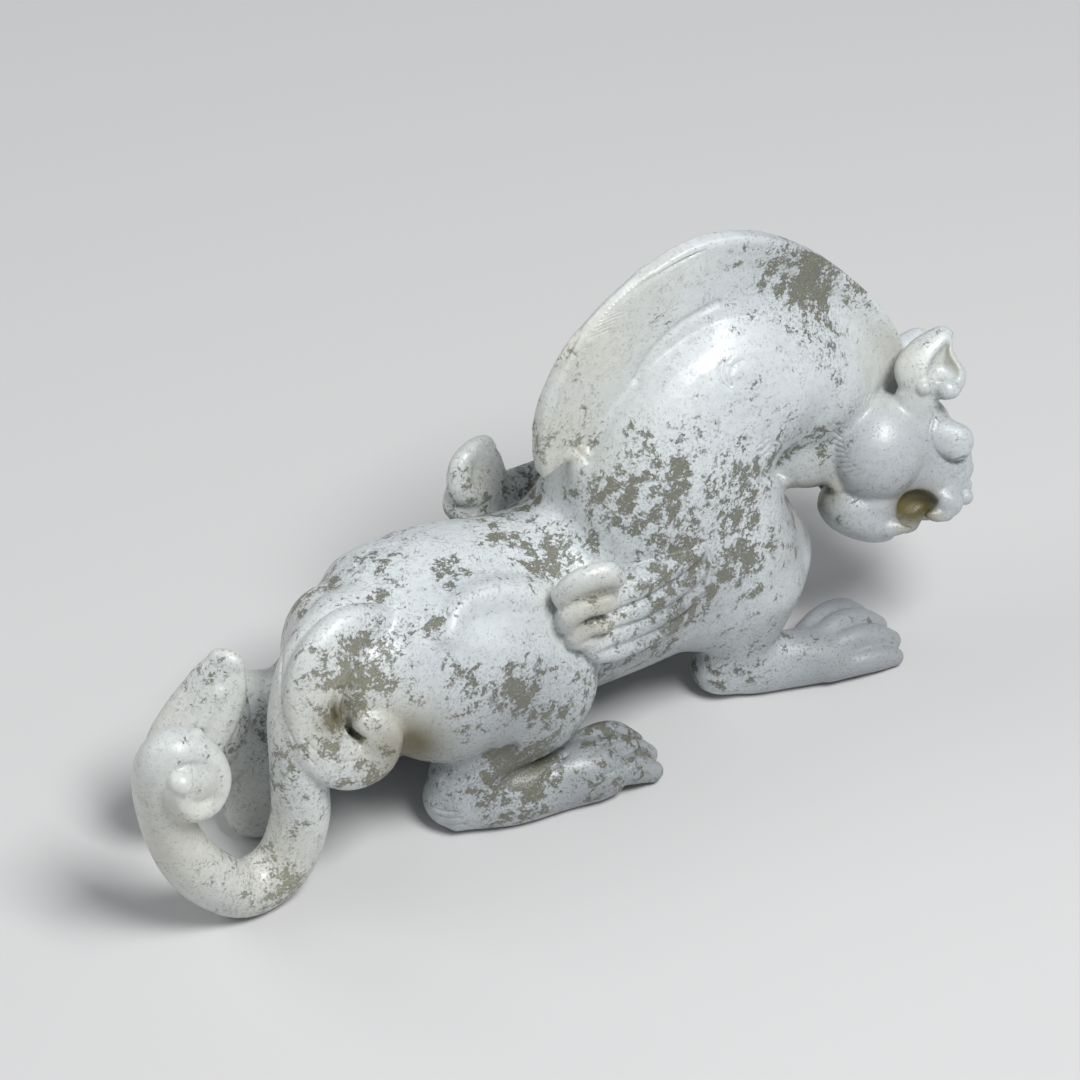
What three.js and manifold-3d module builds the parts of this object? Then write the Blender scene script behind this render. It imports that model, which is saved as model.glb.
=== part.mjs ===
// Carved jade beast: a long-bodied winged feline, prowling, cut from one pebble of jade.
// Millimetres, +Z up, the beast faces +X and its left side is +Y.
// The origin lies on the surface that the feet stand on, under the middle of the body.

import * as THREE from 'three';
import { LoftGeometry } from 'three/addons/geometries/LoftGeometry.js';
import { mergeVertices } from 'three/addons/utils/BufferGeometryUtils.js';
import Module from 'manifold-3d';

const wasm = await Module();
wasm.setup();

// Driving sizes

const LENGTH = 131;
const HALF_WIDTH = 30;
const HEIGHT = 80;
const CREST_HALF_THICKNESS = 1.2;
const TOE_RADIUS = 1.5;
const SOLE_DEPTH = 0.8;

// A station is [x, y, z, half width, half thickness] at one place along a limb.
// The face of a limb is the direction that its flat side looks towards.

const UP = [ 0, 0, 1 ];

const TORSO = [
	[ - 29.5, 0.3, 26, 9, 9.5 ],
	[ - 25.5, 0, 25.5, 12, 11.5 ],
	[ - 16, 0, 24.5, 13.5, 12.5 ],
	[ - 2, 0, 21.4, 12.5, 12.6 ],
	[ 10, 0, 21, 12.5, 13.4 ],
	[ 20, - 0.5, 22, 12.5, 14 ],
	[ 26, - 1.2, 19.5, 10.5, 11.5 ],
	[ 31.8, - 1.9, 13.8, 8, 8.7 ]
];

const NECK = [
	[ 14, 0, 26, 12, 13 ],
	[ 18.5, 0, 34.5, 11.4, 15.5 ],
	[ 25, 0, 41.5, 10.2, 15.2 ],
	[ 31, - 0.8, 42, 9, 12.8 ],
	[ 36, - 1.6, 39, 6.4, 10.6 ],
	[ 39.4, - 2.6, 35, 4.8, 8.6 ]
];

// The wedge fills the corner between the neck and the front half of the crest.

const NECK_WEDGE = [
	[ 26, - 0.4, 51.6, 4.4, 6 ],
	[ 34, - 1, 50.2, 4.8, 6 ],
	[ 40.4, - 2.4, 44.4, 4, 4.8 ],
	[ 44.4, - 3.6, 39, 3.2, 4 ]
];

const WITHERS = [
	[ 9, - 0.6, 36, 4, 5 ],
	[ 6.4, - 0.8, 40.4, 2.6, 3.2 ],
	[ 4.6, - 0.8, 44.2, 0.8, 1 ]
];

// The tail hangs from the rump, turns up near the ground and ends in a flat coil.

const TAIL = [
	[ - 22, 0, 29, 4.5, 4 ],
	[ - 29.5, - 1.5, 33, 4.4, 4 ],
	[ - 35.4, - 4, 31.8, 4, 3.8 ],
	[ - 39, - 6, 27, 3.6, 3.6 ],
	[ - 40, - 7.5, 19, 3.6, 3.6 ],
	[ - 40.5, - 8, 11, 3.7, 3.7 ],
	[ - 43.5, - 8, 4.6, 3.7, 3.7 ],
	[ - 48.5, - 8, 3.4, 3.7, 3.7 ],
	[ - 53.5, - 8, 8, 3.7, 3.6 ],
	[ - 57.2, - 8.2, 15, 3.5, 3.4 ],
	[ - 60, - 8.7, 24, 3, 3.2 ],
	[ - 60.2, - 9, 30, 2.6, 3.1 ],
	[ - 58.6, - 9.7, 33.4, 2.2, 2.9 ],
	[ - 55.9, - 10, 33, 2, 2.8 ],
	[ - 53.8, - 10.3, 30.2, 2, 2.8 ],
	[ - 53.5, - 10.6, 27.2, 2, 2.8 ],
	[ - 54.8, - 10.9, 24.9, 1.9, 2.7 ],
	[ - 57.1, - 11.2, 24.9, 1.8, 2.6 ],
	[ - 59.1, - 11.6, 27.4, 1.5, 2.5 ],
	[ - 59.6, - 11.8, 30, 1.2, 2.4 ]
];

// Two side branches of the tail: a flat hook that lies on the right haunch, and a leaf on the left.

const RIGHT_HOOK = [
	[ - 21, - 3, 28, 3.4, 2.2 ],
	[ - 27, - 4.8, 33, 3.6, 2.2 ],
	[ - 31.8, - 6, 35.4, 3.8, 2.2 ],
	[ - 35.3, - 7, 34.4, 3.8, 2.2 ],
	[ - 37.6, - 7.9, 31.2, 3.7, 2.1 ],
	[ - 38.4, - 9, 26.6, 3.5, 2.1 ],
	[ - 37.6, - 10.3, 22.6, 3.5, 2 ],
	[ - 35, - 11.4, 20.3, 3.4, 2 ],
	[ - 32.2, - 12, 20.7, 3.1, 1.9 ],
	[ - 31, - 11.9, 23, 2.8, 1.8 ],
	[ - 31.6, - 11.4, 25, 2.2, 1.7 ],
	[ - 32.9, - 10.9, 26, 1.4, 1.4 ]
];

const LEFT_LEAF = [
	[ - 43, 4.8, 29.1, 2, 1.2 ],
	[ - 43.4, 4.8, 26.8, 3.2, 1.8 ],
	[ - 44.7, 4.8, 23.8, 4.1, 2.2 ],
	[ - 47, 4.8, 20.6, 4.6, 2.5 ],
	[ - 49.5, 4.8, 17.1, 4.7, 2.6 ],
	[ - 50.6, 4.8, 12.6, 4.6, 2.5 ]
];

const LEFT_LEAF_FACE = [ - 0.41, - 0.63, 0.66 ];

// Outlines that pillows fill, in the pillow's own plane: [across, up].

const HAUNCH = [
	[ - 30, 23 ], [ - 28, 30 ], [ - 24, 34.5 ], [ - 18, 36.6 ], [ - 11, 35.4 ], [ - 5, 31.5 ], [ - 1.2, 26.5 ],
	[ 0.2, 20.5 ], [ - 0.8, 15.5 ], [ - 4.5, 11.5 ], [ - 10, 9.8 ], [ - 16, 10.2 ], [ - 22, 12 ],
	[ - 26.5, 15.5 ], [ - 29.3, 19 ]
];

const PADDLE = [
	[ 7, - 6 ], [ 0, - 7 ], [ - 3.3, - 4.3 ], [ - 4.8, - 1 ], [ - 5.2, 1.7 ], [ - 4.6, 4.3 ], [ - 3.4, 7.4 ],
	[ - 1, 9.7 ], [ 0.8, 9.9 ], [ 2.4, 8 ], [ 2.9, 5.3 ], [ 3.6, 1.5 ], [ 9, - 2 ]
];

const EAR = [
	[ 5.6, 16.9 ], [ 7, 16.4 ], [ 7.3, 14.5 ], [ 9.5, 11.9 ], [ 9.1, 8.5 ], [ 6.2, 7.8 ], [ 3.2, 7.3 ],
	[ 0.9, 9 ], [ 0.4, 10.7 ], [ 0.9, 12.6 ], [ 3.8, 15.9 ]
];

const BROW = [
	[ 7.4, 3.7 ], [ 8.5, 1.2 ], [ 11, 0.3 ], [ 12.7, 2.2 ], [ 11.8, 4.7 ], [ 8.6, 5 ]
];

// Joining and cutting

function solidOf( geometry ) {

	const bare = new THREE.BufferGeometry().copy( geometry );
	for ( const name of Object.keys( bare.attributes ) ) {

		if ( name !== 'position' ) bare.deleteAttribute( name );

	}

	const merged = mergeVertices( bare, 1e-4 );
	return new wasm.Manifold( new wasm.Mesh( {
		numProp: 3,
		vertProperties: new Float32Array( merged.attributes.position.array ),
		triVerts: new Uint32Array( merged.index.array )
	} ) );

}

function joined( solids ) {

	return solids.reduce( ( sum, solid ) => sum.add( solid ) );

}

// Basic forms

const vec = ( p ) => new THREE.Vector3( p[ 0 ], p[ 1 ], p[ 2 ] );

// A limb is a rounded bar: an ellipse carried along a smooth curve through its stations,
// with its half width across the face and its half thickness along it, and domed ends.

function limb( stations, { face = UP, sides = 14, steps = 20, dome = 3, blunt = 1 } = {} ) {

	const path = new THREE.CatmullRomCurve3( stations.map( vec ), false, 'centripetal' );
	const sizes = new THREE.CatmullRomCurve3( stations.map( ( s ) => new THREE.Vector3( s[ 3 ], s[ 4 ], 0 ) ), false, 'catmullrom', 0.5 );
	const faceAxis = vec( face );
	const rows = [];

	const ring = ( t, shrink, push ) => {

		const tangent = path.getTangent( t );
		const out = faceAxis.clone().addScaledVector( tangent, - faceAxis.dot( tangent ) ).normalize();
		const side = new THREE.Vector3().crossVectors( out, tangent );
		const size = sizes.getPoint( t );
		const centre = path.getPoint( t ).addScaledVector( tangent, push * ( size.x + size.y ) / 2 );
		const points = [];
		for ( let j = 0; j < sides; j ++ ) {

			const angle = j / sides * Math.PI * 2;
			points.push( centre.clone()
				.addScaledVector( side, shrink * size.x * Math.cos( angle ) )
				.addScaledVector( out, shrink * size.y * Math.sin( angle ) ) );

		}

		rows.push( points );

	};

	for ( let k = 1; k <= dome; k ++ ) {

		const angle = Math.PI / 2 * k / ( dome + 0.35 );
		ring( 0, Math.sin( angle ), - blunt * Math.cos( angle ) );

	}

	for ( let i = 0; i <= steps; i ++ ) ring( i / steps, 1, 0 );

	for ( let k = dome; k >= 1; k -- ) {

		const angle = Math.PI / 2 * k / ( dome + 0.35 );
		ring( 1, Math.sin( angle ), blunt * Math.cos( angle ) );

	}

	return solidOf( new LoftGeometry( rows, { capStart: true, capEnd: true } ) );

}

// A pillow is a ball whose rim is a free closed outline, in a plane given by its origin and its
// across and up directions. It is as thick as given on each side of the plane.

function pillow( outline, origin, across, up, thick, levels = 2 ) {

	const middle = [ 0, 1 ].map( ( k ) => outline.reduce( ( sum, point ) => sum + point[ k ], 0 ) / outline.length );
	const x = vec( across ).normalize();
	const y = vec( up ).normalize();
	const normal = new THREE.Vector3().crossVectors( x, y );
	const turns = outline.reduce( ( sum, point, i ) => {

		const after = outline[ ( i + 1 ) % outline.length ];
		return sum + point[ 0 ] * after[ 1 ] - after[ 0 ] * point[ 1 ];

	}, 0 );
	const rim = turns < 0 ? [ ...outline ].reverse() : outline;
	const rows = [];
	for ( let i = - levels; i <= levels; i ++ ) {

		const rise = Math.PI / 2 * i / ( levels + 0.35 );
		rows.push( rim.map( ( [ a, b ] ) => vec( origin )
			.addScaledVector( x, middle[ 0 ] + ( a - middle[ 0 ] ) * Math.cos( rise ) )
			.addScaledVector( y, middle[ 1 ] + ( b - middle[ 1 ] ) * Math.cos( rise ) )
			.addScaledVector( normal, thick * Math.sin( rise ) ) ) );

	}

	return solidOf( new LoftGeometry( rows, { capStart: true, capEnd: true } ) );

}

const SIDEWAYS = [ [ 1, 0, 0 ], UP ];

// A ball is an ellipsoid with its own half sizes along the axes, turned by Euler angles in degrees.

function ball( centre, half, turn = [ 0, 0, 0 ], sides = 16, rows = 10 ) {

	const geometry = new THREE.SphereGeometry( 1, sides, rows );
	const angles = turn.map( ( a ) => THREE.MathUtils.degToRad( a ) );
	geometry.applyMatrix4( new THREE.Matrix4().compose(
		vec( centre ),
		new THREE.Quaternion().setFromEuler( new THREE.Euler( angles[ 0 ], angles[ 1 ], angles[ 2 ], 'ZYX' ) ),
		vec( half )
	) );
	return solidOf( geometry );

}

// Crest: a thin blade of mane that stands on the neck from the withers to between the ears.
// Each station gives the root and the rim in the blade's own plane: [root x, root z, rim x, rim z, y, root half thickness].

const CREST = [
	[ 9, 46, - 0.1, 42.2, 0, 1.3 ],
	[ 11, 47.5, - 0.7, 46.5, 0, 1.3 ],
	[ 13, 48.5, 0.3, 53.6, 0, 1.4 ],
	[ 16, 49, 5.6, 61.4, 0, 1.6 ],
	[ 21, 50, 14, 66.9, 0, 1.8 ],
	[ 27, 50, 22.4, 68.9, 0, 2.4 ],
	[ 32, 48, 30.6, 67.2, - 0.5, 3.4 ],
	[ 37, 45, 38.6, 61.9, - 1, 4.2 ],
	[ 40, 41, 45.3, 55, - 1.8, 4.2 ],
	[ 43, 36, 50.3, 48, - 2.5, 3.8 ],
	[ 45, 31, 53, 41, - 3.4, 3.4 ],
	[ 45, 27, 53, 34, - 4, 3.4 ]
];

function crest() {

	const rows = CREST.map( ( [ rootX, rootZ, rimX, rimZ, y, rootHalf ] ) => {

		const root = new THREE.Vector3( rootX, y, rootZ );
		const rim = new THREE.Vector3( rimX, y, rimZ );
		const inward = root.clone().sub( rim ).normalize();
		const edge = ( along, half ) => rim.clone().addScaledVector( inward, along ).add( new THREE.Vector3( 0, half, 0 ) );
		const t = CREST_HALF_THICKNESS;
		return [
			edge( 0, 0.6 * t ), edge( 0, - 0.6 * t ), edge( 0.6, - t ),
			root.clone().add( new THREE.Vector3( 0, - rootHalf, 0 ) ),
			root.clone().add( new THREE.Vector3( 0, rootHalf, 0 ) ),
			edge( 0.6, t )
		];

	} );
	const curves = rows[ 0 ].map( ( _, j ) => new THREE.CatmullRomCurve3( rows.map( ( row ) => row[ j ] ), false, 'centripetal' ) );
	const steps = 18;
	const sections = [];
	for ( let i = 0; i <= steps; i ++ ) sections.push( curves.map( ( curve ) => curve.getPoint( i / steps ) ) );
	return solidOf( new LoftGeometry( sections, { capStart: true, capEnd: true } ) );

}

// Hind leg: a heavy thigh, a short shank and a long foot flat on the ground. side is -1 for right.

function hindLeg( side, shift, out, thighShift, thighDrop ) {

	const y = ( v ) => side * ( v + out );
	const x = ( v ) => v + shift;
	const thigh = pillow(
		HAUNCH.map( ( [ a, b ] ) => [ a + thighShift, b - thighDrop ] ), [ 0, y( 8 ), 0 ], ...SIDEWAYS, 7.2
	);
	const knee = ball( [ thighShift - 7.4, y( 11.4 ), 17.2 - thighDrop ], [ 7.8, 4.8, 9 ], [ 0, 25, 0 ], 9, 6 );
	const shank = limb( [
		[ x( - 10 ), y( 9 ), 13, 5.5, 5 ],
		[ x( - 16 ), y( 8.5 ), 8, 4.5, 4.8 ],
		[ x( - 18.5 ), y( 8.6 ), 4.5 - SOLE_DEPTH, 4, 4 ]
	], { face: [ 1, 0, 0 ], sides: 8, steps: 3, dome: 1 } );
	const foot = limb( [
		[ x( - 18.5 ), y( 9 ), 4, 4, 3.8 + SOLE_DEPTH ],
		[ x( - 12 ), y( 11.8 ), 3.6, 4, 3.6 + SOLE_DEPTH ],
		[ x( - 5 ), y( 13.2 ), 3.6, 3.7, 3.6 + SOLE_DEPTH ],
		[ x( 0 ), y( 13.7 ), 3.6, 4.3, 3.4 + SOLE_DEPTH ],
		[ x( 3 ), y( 13.9 ), 3, 4.2, 2.8 + SOLE_DEPTH ]
	], { sides: 8, steps: 4, dome: 1, blunt: 0.3 } );
	return joined( [ thigh, knee, shank, foot, ...toes( [ x( 0.5 ), y( 13.8 ), 2.6 ], side * 6, 5.4 ) ] );

}

// Front leg: an upper arm that merges with the chest, an elbow on the ground and a flat forearm.

function frontLeg( side, shift, out ) {

	const y = ( v ) => side * ( v + out );
	const x = ( v ) => v + shift;
	const shoulder = ball( [ x( 24 ), y( 7 ), 20 ], [ 9, 6, 12 ], [ 0, 10, 0 ], 10, 7 );
	const arm = limb( [
		[ x( 28 ), y( 7.5 ), 16, 5.5, 6.5 ],
		[ x( 26 ), y( 7.2 ), 9, 4.6, 5.4 ],
		[ x( 23.5 ), y( 6.8 ), 4.5 - SOLE_DEPTH, 3.8, 3.8 ]
	], { face: [ 1, 0, 0 ], sides: 8, steps: 3, dome: 1 } );
	const forearm = limb( [
		[ x( 22 ), y( 5.8 ), 4, 2.6, 2.6 ],
		[ x( 26 ), y( 8 ), 3.8, 3.6, 3.6 + SOLE_DEPTH ],
		[ x( 32 ), y( 10.4 ), 3.6, 3.6, 3.4 + SOLE_DEPTH ],
		[ x( 38 ), y( 11.4 ), 3.6, 4.3, 3.4 + SOLE_DEPTH ],
		[ x( 41.5 ), y( 11.7 ), 3, 4.4, 2.8 + SOLE_DEPTH ]
	], { sides: 8, steps: 4, dome: 1, blunt: 0.3 } );
	return joined( [ shoulder, arm, forearm, ...toes( [ x( 39 ), y( 11.6 ), 2.6 ], side * 4, 5.4 ) ] );

}

function toes( root, heading, reach ) {

	const list = [];
	for ( const spread of [ - 1.5, - 0.5, 0.5, 1.5 ] ) {

		const turn = THREE.MathUtils.degToRad( heading + spread * 5 );
		const across = THREE.MathUtils.degToRad( heading + 90 );
		const start = [ root[ 0 ] + Math.cos( across ) * spread * 2.1, root[ 1 ] + Math.sin( across ) * spread * 2.1 ];
		const at = ( d, z, r ) => [ start[ 0 ] + Math.cos( turn ) * d, start[ 1 ] + Math.sin( turn ) * d, z, r, r * 1.2 ];
		list.push( limb( [
			at( 0, root[ 2 ] + 1, TOE_RADIUS * 0.9 ),
			at( reach * 0.55, root[ 2 ] + 0.6, TOE_RADIUS ),
			at( reach, root[ 2 ] - 1.4, TOE_RADIUS * 0.9 )
		], { sides: 6, steps: 2, dome: 1 } ) );

	}

	return list;

}

// Wing: long grooved feathers swept back from the shoulder, with tips that curl outwards.

const FEATHERS = [
	[ [ 19, 9.8, 30.6, 1.3, 1.6 ], [ 12, 11.6, 30.2, 1.7, 1.9 ], [ 4, 12.4, 30.2, 1.8, 1.9 ], [ - 1.5, 12, 31, 1.8, 1.8 ], [ - 4, 12, 33, 1.8, 1.6 ], [ - 3, 13.4, 35.8, 1.8, 1.5 ], [ 0.8, 14.6, 36.2, 1.5, 1.2 ] ],
	[ [ 18, 10.6, 27.5, 1.2, 1.6 ], [ 12, 12.4, 27.4, 1.6, 1.9 ], [ 4, 13, 27.4, 1.7, 1.9 ], [ - 2, 12.6, 28.2, 1.7, 1.8 ], [ - 4.4, 12.8, 30, 1.7, 1.6 ], [ - 3, 14, 32, 1.5, 1.4 ], [ 0.2, 14.9, 32, 1.3, 1.1 ] ],
	[ [ 17, 11, 24.6, 1.2, 1.6 ], [ 11, 12.7, 24.6, 1.6, 1.9 ], [ 4, 13.2, 24.8, 1.7, 1.9 ], [ - 1.2, 13, 25.6, 1.7, 1.8 ], [ - 3.4, 13.2, 27.2, 1.6, 1.5 ], [ - 1.8, 14.2, 28.8, 1.3, 1.3 ], [ 0.2, 14.8, 28.4, 1.1, 1 ] ],
	[ [ 16, 11, 21.8, 1.2, 1.6 ], [ 10, 12.6, 22, 1.6, 1.9 ], [ 4.4, 13.2, 22.2, 1.7, 1.9 ], [ 0, 13.2, 23, 1.7, 1.8 ], [ - 1.2, 13.5, 24.6, 1.4, 1.5 ], [ 0.6, 14.2, 25.4, 1.1, 1.1 ] ]
];

function wing( side ) {

	const feathers = FEATHERS.map( ( feather ) => limb(
		feather.map( ( [ x, y, z, w, t ] ) => [ x, side * y, z, w, t ] ),
		{ face: [ 0, side, 0.2 ], sides: 5, steps: 5, dome: 1 }
	) );
	const backing = ball( [ 6.5, side * 11.4, 25.3 ], [ 10, 2.5, 6.5 ], [ 0, - 8, 0 ], 8, 5 );
	const paddle = pillow( PADDLE, [ 0, side * 11.4, 28 ], [ 1, 0, 0 ], [ 0, side * 0.3, 0.95 ], 1.9, 1 );
	return joined( [ paddle, backing, ...feathers ] );

}

// Head, built upright about the middle of the skull and then turned into place.

const HEAD_PLACE = [ 45.9, - 6.2, 29.9 ];
const HEAD_TURN = { yaw: - 32.7, down: 13.2, roll: - 40 };
const TOOTH = { face: [ 1, 0, 0 ], sides: 5, steps: 2, dome: 1 };

function faceHalf( side ) {

	const brow = pillow( BROW, [ 0, side * 4.4, 0 ], ...SIDEWAYS, 1.7, 1 );
	const lowerFang = limb( [ [ 4, side * 2.6, - 9.2, 1.2, 1.1 ], [ 6.2, side * 3.4, - 8.6, 0.9, 0.8 ], [ 7.2, side * 3.5, - 7.4, 0.4, 0.4 ] ], TOOTH );
	const upperLip = ball( [ 10.2, side * 2.8, - 5.7 ], [ 2.8, 1.6, 1.7 ], [ 0, - 10, 0 ], 7, 4 );
	const earLeaf = pillow( EAR, [ 0, side * 6.6, 0 ], ...SIDEWAYS, 2, 1 );
	const earRoot = limb( [
		[ 3.6, side * 4.4, 4, 2.6, 2 ],
		[ 4.2, side * 5.6, 7.4, 3, 2 ],
		[ 4.6, side * 6.4, 9.4, 2.6, 1.6 ]
	], { face: [ 0.3, side, 0 ], sides: 6, steps: 2, dome: 1 } );
	return joined( [ brow, lowerFang, upperLip, earLeaf, earRoot ] );

}

function head() {

	const skull = ball( [ 0.8, 0, 0.4 ], [ 7.3, 9, 7.4 ], [ 0, 0, 0 ], 11, 7 );
	const muzzle = limb( [
		[ 5, 0, 0.5, 6, 6.4 ],
		[ 9.6, 0, - 1, 4.8, 5.4 ],
		[ 11.8, 0, - 2.6, 3.9, 4 ]
	], { sides: 7, steps: 2, dome: 1, blunt: 0.5 } );
	const nose = ball( [ 13.4, 0, - 2 ], [ 1.4, 2.4, 1.9 ], [ 0, 0, 0 ], 8, 5 );
	const jaw = limb( [
		[ - 3.6, 0, - 5, 5, 3.6 ],
		[ - 1.2, 0, - 7.9, 5, 3.6 ],
		[ 1.4, 0, - 8.9, 4.8, 3 ],
		[ 4, 0, - 9.5, 3.6, 2 ]
	], { sides: 7, steps: 3, dome: 1, blunt: 0.5 } );
	const turn = new THREE.Matrix4().makeRotationFromEuler( new THREE.Euler(
		THREE.MathUtils.degToRad( HEAD_TURN.roll ),
		THREE.MathUtils.degToRad( HEAD_TURN.down ),
		THREE.MathUtils.degToRad( HEAD_TURN.yaw ),
		'ZYX'
	) );
	turn.setPosition( vec( HEAD_PLACE ) );
	return joined( [ skull, muzzle, nose, jaw, faceHalf( - 1 ), faceHalf( 1 ) ] ).transform( turn.elements );

}

// Web: the thin wall that joins the leaf to the left haunch.

const WEB = [
	[ - 42.6, 24.4 ], [ - 38, 24 ], [ - 33, 24 ], [ - 27, 20 ], [ - 27, 6 ], [ - 33, 4.5 ], [ - 38, 6 ],
	[ - 42, 6 ], [ - 45.5, 8 ], [ - 46.5, 14 ], [ - 45, 20 ]
];

function leftBranch() {

	const leaf = limb( LEFT_LEAF, { face: LEFT_LEAF_FACE, sides: 8, steps: 6, dome: 1 } );
	const web = pillow( WEB, [ 0, 6, 0 ], ...SIDEWAYS, 3.6, 1 );
	const bridge = ball( [ - 44.5, 5.5, 17 ], [ 4.5, 3, 7.5 ], [ 0, 20, 0 ], 7, 5 );
	return joined( [ leaf, web, bridge ] );

}

// Coil: the pad that closes the middle of the coil, and its knob.

function coilMiddle() {

	const pad = ball( [ - 56.7, - 10.8, 29.1 ], [ 4, 2.7, 4.2 ], [ 0, 0, 0 ], 8, 5 );
	const knob = ball( [ - 59, - 13.2, 31.1 ], [ 1.5, 1.6, 1.5 ], [ 0, 0, 0 ], 6, 4 );
	return joined( [ pad, knob ] );

}

// Everything below the surface that the beast stands on is cut off, which leaves flat soles.

function above( solid ) {

	const block = new THREE.BoxGeometry( 2 * LENGTH, 2 * HALF_WIDTH, HEIGHT );
	block.translate( 0, 0, HEIGHT / 2 );
	return solid.intersect( solidOf( block ) );

}

// The finished solid is moved sideways, so that the origin is under the middle of its box.

function centred( solid ) {

	const { min, max } = solid.boundingBox();
	return solid.translate( - ( min[ 0 ] + max[ 0 ] ) / 2, - ( min[ 1 ] + max[ 1 ] ) / 2, - min[ 2 ] );

}

function meshOf( solid ) {

	const result = solid.getMesh();
	const geometry = new THREE.BufferGeometry();
	geometry.setAttribute( 'position', new THREE.BufferAttribute( result.vertProperties, 3 ) );
	geometry.setIndex( new THREE.BufferAttribute( result.triVerts, 1 ) );
	geometry.computeVertexNormals();
	return geometry;

}

const beastSolid = centred( above( joined( [
	limb( TORSO, { sides: 12, steps: 9, dome: 1, blunt: 0.7 } ),
	limb( NECK, { face: [ - 0.2, 0, 1 ], sides: 12, steps: 6, dome: 1, blunt: 0.5 } ),
	limb( NECK_WEDGE, { face: [ 0.5, 0, 0.85 ], sides: 7, steps: 4, dome: 1 } ),
	limb( WITHERS, { face: [ 1, 0, 0 ], sides: 7, steps: 3, dome: 1 } ),
	ball( [ 27.4, - 3.6, 29.5 ], [ 4.2, 6, 8.5 ], [ 0, 0, 0 ], 8, 5 ),
	ball( [ 38.6, - 4.6, 30.4 ], [ 5.4, 4, 3.2 ], [ 0, 0, 0 ], 8, 5 ),
	ball( [ - 29, - 6.4, 26 ], [ 6.6, 5.4, 8.6 ], [ 0, 0, 0 ], 8, 5 ),
	crest(),
	head(),
	limb( TAIL, { face: [ 0, - 1, 0 ], sides: 8, steps: 28, dome: 1 } ),
	coilMiddle(),
	limb( RIGHT_HOOK, { face: [ - 0.25, - 1, 0.3 ], sides: 8, steps: 16, dome: 1 } ),
	leftBranch(),
	hindLeg( - 1, 0, 0, 0, 0 ),
	hindLeg( 1, - 22, - 5, - 6, 6 ),
	frontLeg( - 1, 0, 0 ),
	frontLeg( 1, - 17, - 1.5 ),
	wing( - 1 ),
	wing( 1 )
] ) ) );

const jade = new THREE.MeshStandardMaterial( { color: 0xbfc6c4, roughness: 0.35, metalness: 0 } );
const beast = new THREE.Mesh( meshOf( beastSolid ), jade );
beast.name = 'beast';

const object = new THREE.Group();
object.add( beast );

export default object;
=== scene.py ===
"""Carved jade beast: its fine surface, its stone and a plain studio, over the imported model.

The carving is made in millimetres, in the carver's own frame, and moved to the model's frame at
the end. Each form is a closed surface: a rod (an ellipse carried along a smooth path), a ball, a
pillow (a ball with a free outline) or a blade. The forms are turned into distance fields on one
grid and joined with soft fillets. The cut lines are then pressed into the joined surface, as a
carver's tool would.
"""

import math

import bmesh
import bpy
import numpy as np
import openvdb
from mathutils import Matrix, Vector


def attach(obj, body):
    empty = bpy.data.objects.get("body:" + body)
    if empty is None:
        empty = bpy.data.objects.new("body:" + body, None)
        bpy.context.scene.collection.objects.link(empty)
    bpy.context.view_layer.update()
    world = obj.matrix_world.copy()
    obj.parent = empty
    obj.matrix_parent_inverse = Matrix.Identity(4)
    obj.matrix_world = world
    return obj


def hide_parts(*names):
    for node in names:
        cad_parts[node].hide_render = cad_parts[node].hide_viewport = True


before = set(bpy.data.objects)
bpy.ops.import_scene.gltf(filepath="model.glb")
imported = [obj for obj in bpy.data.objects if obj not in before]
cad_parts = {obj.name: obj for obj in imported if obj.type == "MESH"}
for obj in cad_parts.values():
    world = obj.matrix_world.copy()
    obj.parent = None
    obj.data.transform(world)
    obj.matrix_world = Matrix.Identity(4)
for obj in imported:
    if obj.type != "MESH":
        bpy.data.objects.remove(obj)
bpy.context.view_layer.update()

MM = 0.001

# From the carver's frame to the model's, in millimetres

FRAME_SHIFT = (0.71, 1.75, 0)

# Fineness of the forms: the block and its grid, a rod's rows and ends, a pillow's rings

BLOCK_LOW = (-66, -24, -2.5)
BLOCK_HIGH = (66, 24, 72)
GRID_STEP = 0.25
BAND = 3.0
FACE_BUDGET = 190000
ROD_ROW = 0.7
END_RINGS = 8
END_ANGLES = np.radians(np.linspace(8, 82, END_RINGS))
PILLOW_ANGLES = np.radians(np.linspace(-87, 87, 30))
OUTLINE_STEPS = 16

# Camera: right rear, from above, a long lens

VIEW_AZIMUTH = math.radians(33.0)
VIEW_HEIGHT = math.radians(41.0)
VIEW_TARGET = (0.0, 0.0, 31.5)
VIEW_DISTANCE = 562.5
LENS = 150.0
SENSOR = 36.0
IMAGE_SIZE = 1080
IMAGE_MIDDLE = IMAGE_SIZE / 2
VIEW_BACK = np.array([
    -math.sin(VIEW_AZIMUTH) * math.cos(VIEW_HEIGHT),
    -math.cos(VIEW_AZIMUTH) * math.cos(VIEW_HEIGHT),
    math.sin(VIEW_HEIGHT),
])
VIEW_RIGHT = np.array([math.cos(VIEW_AZIMUTH), -math.sin(VIEW_AZIMUTH), 0.0])
VIEW_UP = np.cross(VIEW_RIGHT, -VIEW_BACK)
VIEW_PLACE = np.array(VIEW_TARGET) + VIEW_BACK * VIEW_DISTANCE
FOCAL = IMAGE_SIZE * LENS / SENSOR

# Stations of the rods: x, y, z, half width, half thickness

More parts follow.
